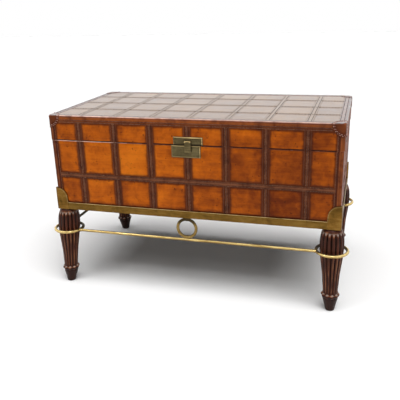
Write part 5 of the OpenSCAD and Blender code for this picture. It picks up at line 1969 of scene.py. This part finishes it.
@dataclass
class Latch:
    """The latch: two bordered plates, a hanging tongue, its pin and the nails."""

    palette: Palette
    width: float = 92.0
    thick: float = 3.2
    lid_x: float = 3.0
    lid_z: tuple[float, float] = (499.7, 524.7)
    body_x: float = -4.5
    body_z: tuple[float, float] = (460.3, 498.3)
    lid_face: float = 236.5
    body_face: float = 235.0
    notch: float = 9.0
    notch_z: float = 481.6
    inset: float = 6.0
    pin_y: float = -243.1
    pin_z: float = 510.3

    def pin(self, start: float, way: float, rings: Sequence[tuple[float, float]]
            ) -> list[Station]:
        """Returns stations along the tongue's pin, from a place along X one way."""
        return turned(flat(start, self.pin_y, self.pin_z), flat(way, 0, 0), flat(0, 1, 0), UP,
                      rings)

    def plate(self, x: float, span: tuple[float, float], face: float, notched: bool,
              rub_and_highlight: tuple[float, float, float, float]) -> Shell:
        """Makes one plate with a raised border.

        Args:
            x: Its middle.
            span: Its lower and upper edge.
            face: Distance of the wall behind it.
            notched: Whether it has the notch for the tongue's stud.
            rub_and_highlight: How bright its top, bottom, right and left border are painted: rubbed
                brass and painted highlight; a border at 0 is painted dull as shade.

        Returns:
            The shell that holds it.
        """
        edge = [0, 0.4, 0.9, 1.6, 2.6, 3.2, 3.9, 4.6]
        half = self.width / 2
        xs = {s * (half - e) + x for s in (-1, 1) for e in edge}
        xs |= set(np.linspace(x - half + 5, x + half - 5, 34).tolist())
        low, high = span
        zs = {low + e for e in edge} | {high - e for e in edge}
        zs |= set(np.linspace(low + 5, high - 5, 12).tolist())
        if notched:
            sides = [self.lid_x + s * self.notch / 2 for s in (-1, 1)]
            xs = {v for v in xs if all(abs(v - s) > 0.8 for s in sides)} | set(sides)
            zs = {v for v in zs if abs(v - self.notch_z) > 0.5} | {self.notch_z}
        xs, zs = np.array(sorted(xs)), np.array(sorted(zs))
        gx = half - np.abs(xs - x)
        gz = np.minimum(zs - low, high - zs)
        gap = np.minimum(gx[:, None], gz[None, :])
        border = 0.55 * (ease(gap, 0.0, 0.9) - ease(gap, 2.6, 3.9))
        edge_drop = -0.9 * (1 - ease(gap, -0.3, 0.9))
        sink = -0.35 * ease(gap, 2.6, 3.9)
        wave = 0.08 * np.sin(xs[:, None] * 0.31) * np.sin(zs[None, :] * 0.4)
        height = self.thick + border + edge_drop + sink + wave
        along, up = np.meshgrid(xs, zs, indexing="ij")
        outer = np.stack([along, -face - height, up], 2)
        inner = np.stack([along, np.full_like(along, -face - 0.02), up], 2)
        keep = None
        if notched:
            mid_x, mid_z = (xs[1:] + xs[:-1]) / 2, (zs[1:] + zs[:-1]) / 2
            hole = (np.abs(mid_x - self.lid_x) < self.notch / 2)[:, None] & (
                mid_z > self.notch_z)[None, :]
            keep = ~hole
        # Painted highlight by side of the border, and painted shade on a border that has none.
        top, bottom, right, left = rub_and_highlight
        share = np.where(gz[None, :] < gx[:, None],
                         np.where(zs > (low + high) / 2, top, bottom)[None, :],
                         np.where(xs > x, right, left)[:, None])
        shell = Shell()
        shell.patch(outer, inner, border / 0.55 * share,
                    0.5 + 0.4 * ((share == 0.0) & (gap < 3.4)), keep=keep)
        return shell

    def build(self) -> None:
        """Builds plates, ears, tongue, pin and nails."""
        # The lid plate is painted bright on its top and right border and dull on its bottom one.
        lid = self.plate(self.lid_x, self.lid_z, self.lid_face, False, (0.9, 0.0, 0.6, 0.1))
        for side in (-1, 1):
            start = self.lid_x + side * 5.8
            # Painted highlight: the knuckles get half tone.
            lid.sweep(round_section(3.1, 16), self.pin(
                start, side, ((0, 0.9), (0.4, 1.0), (3.7, 1.0), (4.2, 0.86))), tone=0.5)
            ear = np.array([(3.9, -2.9), (0.0, -2.9), (0.0, 2.9), (3.9, 2.9)])
            lid.sweep(ear, self.pin(start, side, ((0.05, 1.0), (4.1, 1.0))))
        self.palette.lay("latch_plate_lid_bordered", lid, Finish.LATCH_BRASS, Carrier.LID,
                         ["latch_plate_lid"])
        body = self.plate(self.body_x, self.body_z, self.body_face, True,
                          (0.3, 0.18, 0.5, 0.1))
        self.palette.lay("latch_plate_body_bordered", body, Finish.LATCH_BRASS, Carrier.STAND,
                         ["latch_plate_body"])
        tongue = bevelled_copy("latch_tongue", 0.6)
        # Painted highlight: the tongue is lighter above its pin, on the top of its barrel.
        heights = np.array([v.co.z for v in tongue.vertices]) / MM - self.pin_z
        layer = tongue.attributes.new("tone", "FLOAT", "POINT")
        layer.data.foreach_set("value", (0.05 + 0.8 * ease(heights, 0.5, 2.4)).astype(np.float32))
        settle("latch_tongue_dressed", tongue, self.palette[Finish.LATCH_BRASS],
               Carrier.TONGUE, ["latch_tongue"])
        pin = Shell()
        pin.sweep(round_section(1.5, 14), self.pin(self.lid_x, 1, (
            (-10.8, 0.5), (-10.4, 0.95), (-10.0, 1.0), (10.0, 1.0), (10.4, 0.95), (10.8, 0.5))))
        self.palette.lay("latch_pin_turned", pin, Finish.ROD_BRASS, Carrier.LID, ["latch_pin"])
        for label, x, (low, high), face, carrier in (
                ("lid", self.lid_x, self.lid_z, self.lid_face, Carrier.LID),
                ("body", self.body_x, self.body_z, self.body_face, Carrier.STAND)):
            nails = Fasteners(nail_head)
            for side in (-1, 1):
                for z in (low + self.inset, high - self.inset):
                    nails.add(flat(x + side * (self.width / 2 - self.inset),
                                   -face - self.thick + 0.35, z), flat(0, -1, 0))
            nails.make(f"latch_nail_heads_{label}", self.palette, Finish.LATCH_BRASS, carrier,
                       [f"latch_nails_{label}"])


@dataclass
class Hinges:
    """The two lid hinges on the back and their slotted screws."""

    palette: Palette
    at_x: float = 297.5
    spacing: float = 22.0
    drop: float = 14.0
    leaf: float = 2.0

    def build(self) -> None:
        """Builds leaves and screws."""
        for side in ("left", "right"):
            for part, carrier in (("body", Carrier.STAND), ("lid", Carrier.LID)):
                node = f"hinge_{side}_{part}_leaf"
                settle(f"{node}_eased", bevelled_copy(node, 0.35, 1),
                       self.palette[Finish.HINGE_BRASS], carrier, [node])
        for part, face, way, carrier in (("body", 235.0, -1, Carrier.STAND),
                                         ("lid", 236.5, 1, Carrier.LID)):
            screws = Fasteners(screw_head)
            for side in (-1, 1):
                for k in (-1, 0, 1):
                    screws.add(flat(side * self.at_x + k * self.spacing, face + self.leaf,
                                    S.seam + way * self.drop), flat(0, 1, 0))
            screws.make(f"hinge_screw_heads_{part}", self.palette, Finish.HINGE_BRASS, carrier,
                        [f"hinge_screws_{part}"])


# Studio


@dataclass
class Studio:
    """Camera, lamps, floor and pale backdrop."""

    azimuth: float = 16.64
    elevation: float = 19.70
    roll: float = -1.77
    target: tuple[float, float, float] = (-0.0320, -0.0123, 0.2432)
    distance: float = 1.972
    lens: float = 50.245

    def camera(self) -> None:
        """Makes the camera at the viewing angle of the photograph."""
        az, el, roll = (math.radians(v) for v in (self.azimuth, self.elevation, self.roll))
        back = Vector((math.sin(az) * math.cos(el), -math.cos(az) * math.cos(el), math.sin(el)))
        ahead = -back
        right = ahead.cross(Vector((0, 0, 1))).normalized()
        above = right.cross(ahead).normalized()
        x = right * math.cos(roll) + above * math.sin(roll)
        y = above * math.cos(roll) - right * math.sin(roll)
        data = bpy.data.cameras.new("camera")
        data.lens, data.sensor_width, data.sensor_fit = self.lens, 36.0, "HORIZONTAL"
        data.clip_start, data.clip_end = 0.05, 60.0
        made = put("camera", data)
        turn = Matrix((x, y, back)).transposed().to_4x4()
        made.matrix_world = Matrix.Translation(Vector(self.target) + back * self.distance) @ turn
        bpy.context.scene.camera = made

    @staticmethod
    def lamp(name: str, kind: str, power: float, at: Sequence[float], to: Sequence[float],
             size: Sequence[float]) -> None:
        """Makes one lamp. A sun is not mirrored, so polished leather keeps its colour under it.

        Args:
            name: Its name.
            kind: AREA or SUN.
            power: Watts, or strength of a sun.
            at: Where it stands, in metres.
            to: Where it points.
            size: Width and height of an area lamp, or the angle of a sun in degrees.
        """
        data = bpy.data.lights.new(name, kind)
        data.energy = power
        if kind == "AREA":
            data.shape, data.size, data.size_y = "RECTANGLE", size[0], size[1]
        else:
            data.angle = math.radians(size[0])
        made = put(name, data)
        made.visible_glossy = kind != "SUN"
        way = Vector(to) - Vector(at)
        turn = way.to_track_quat("-Z", "Y").to_matrix().to_4x4()
        made.matrix_world = Matrix.Translation(Vector(at)) @ turn

    def lamps(self) -> None:
        """Makes the soft studio light."""
        self.lamp("overhead left", "SUN", 1.35, (-0.45, -0.60, 3.0), (0, 0, 0), (46.0,))
        self.lamp("overhead right", "SUN", 2.1, (1.15, -0.60, 3.0), (0, 0, 0), (46.0,))
        self.lamp("front left", "AREA", 7.0, (-1.55, -1.75, 2.7), (-0.1, 0, 0.40), (0.7, 0.5))
        self.lamp("front right", "AREA", 13.0, (0.9, -2.1, 2.7), (0.1, 0, 0.40), (1.2, 1.0))

    def world(self) -> None:
        """Makes the pale surroundings: white where seen or mirrored, dimmer as light."""
        world = bpy.data.worlds.new("surroundings")
        bpy.context.scene.world = world
        world.use_nodes = True
        t = Tree(world.node_tree)
        path = t.node("ShaderNodeLightPath").outputs
        seen = t.sum("MAXIMUM", path["Is Camera Ray"],
                     t.sum("MAXIMUM", path["Is Glossy Ray"], path["Is Transmission Ray"]))
        power = t.weigh(seen, 0.965, 0.035)
        shade = t.node("ShaderNodeBackground", {"Color": (1, 1, 1, 1), "Strength": power})
        t.node("ShaderNodeOutputWorld", {"Surface": shade.outputs[0]})

    def floor(self) -> None:
        """Makes the pale floor, which keeps the shadow of the trunk."""
        mesh = bpy.data.meshes.new("floor")
        r = 14.0
        mesh.from_pydata([(-r, -r, 0), (r, -r, 0), (r, r, 0), (-r, r, 0)], [], [(0, 1, 2, 3)])
        material = bpy.data.materials.new("floor paper")
        material.use_nodes = True
        t = Tree(material.node_tree)
        matt = t.node("ShaderNodeBsdfDiffuse", {"Color": (0.96, 0.96, 0.96, 1)}).outputs[0]
        glow = t.node("ShaderNodeEmission", {"Color": (1, 1, 1, 1), "Strength": 1.0}).outputs[0]
        path = t.node("ShaderNodeLightPath").outputs
        seen = t.sum("MAXIMUM", path["Is Camera Ray"], path["Is Glossy Ray"])
        share = t.times(seen, 0.045)
        mixed = t.node("ShaderNodeMixShader", {0: share, 1: matt, 2: glow}).outputs[0]
        t.node("ShaderNodeOutputMaterial", {"Surface": mixed})
        mesh.materials.append(material)
        put("floor", mesh)

    def build(self) -> None:
        """Builds the studio."""
        bpy.context.scene.view_settings.view_transform = "Standard"
        self.camera()
        self.lamps()
        self.world()
        self.floor()


def main() -> None:
    """Builds the studio and dresses every piece, in order."""
    logging.basicConfig(level=logging.INFO, format="%(name)s %(message)s")
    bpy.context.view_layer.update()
    Studio().build()
    palette = Palette()
    palette.dress_frame()
    for assembly in (TrunkBody(palette), TrunkLid(palette), FootRail(palette),
                     Stretchers(palette), Legs(palette), Latch(palette), Hinges(palette)):
        LOG.info("building %s", type(assembly).__name__)
        assembly.build()


if __name__ == "__main__":
    main()
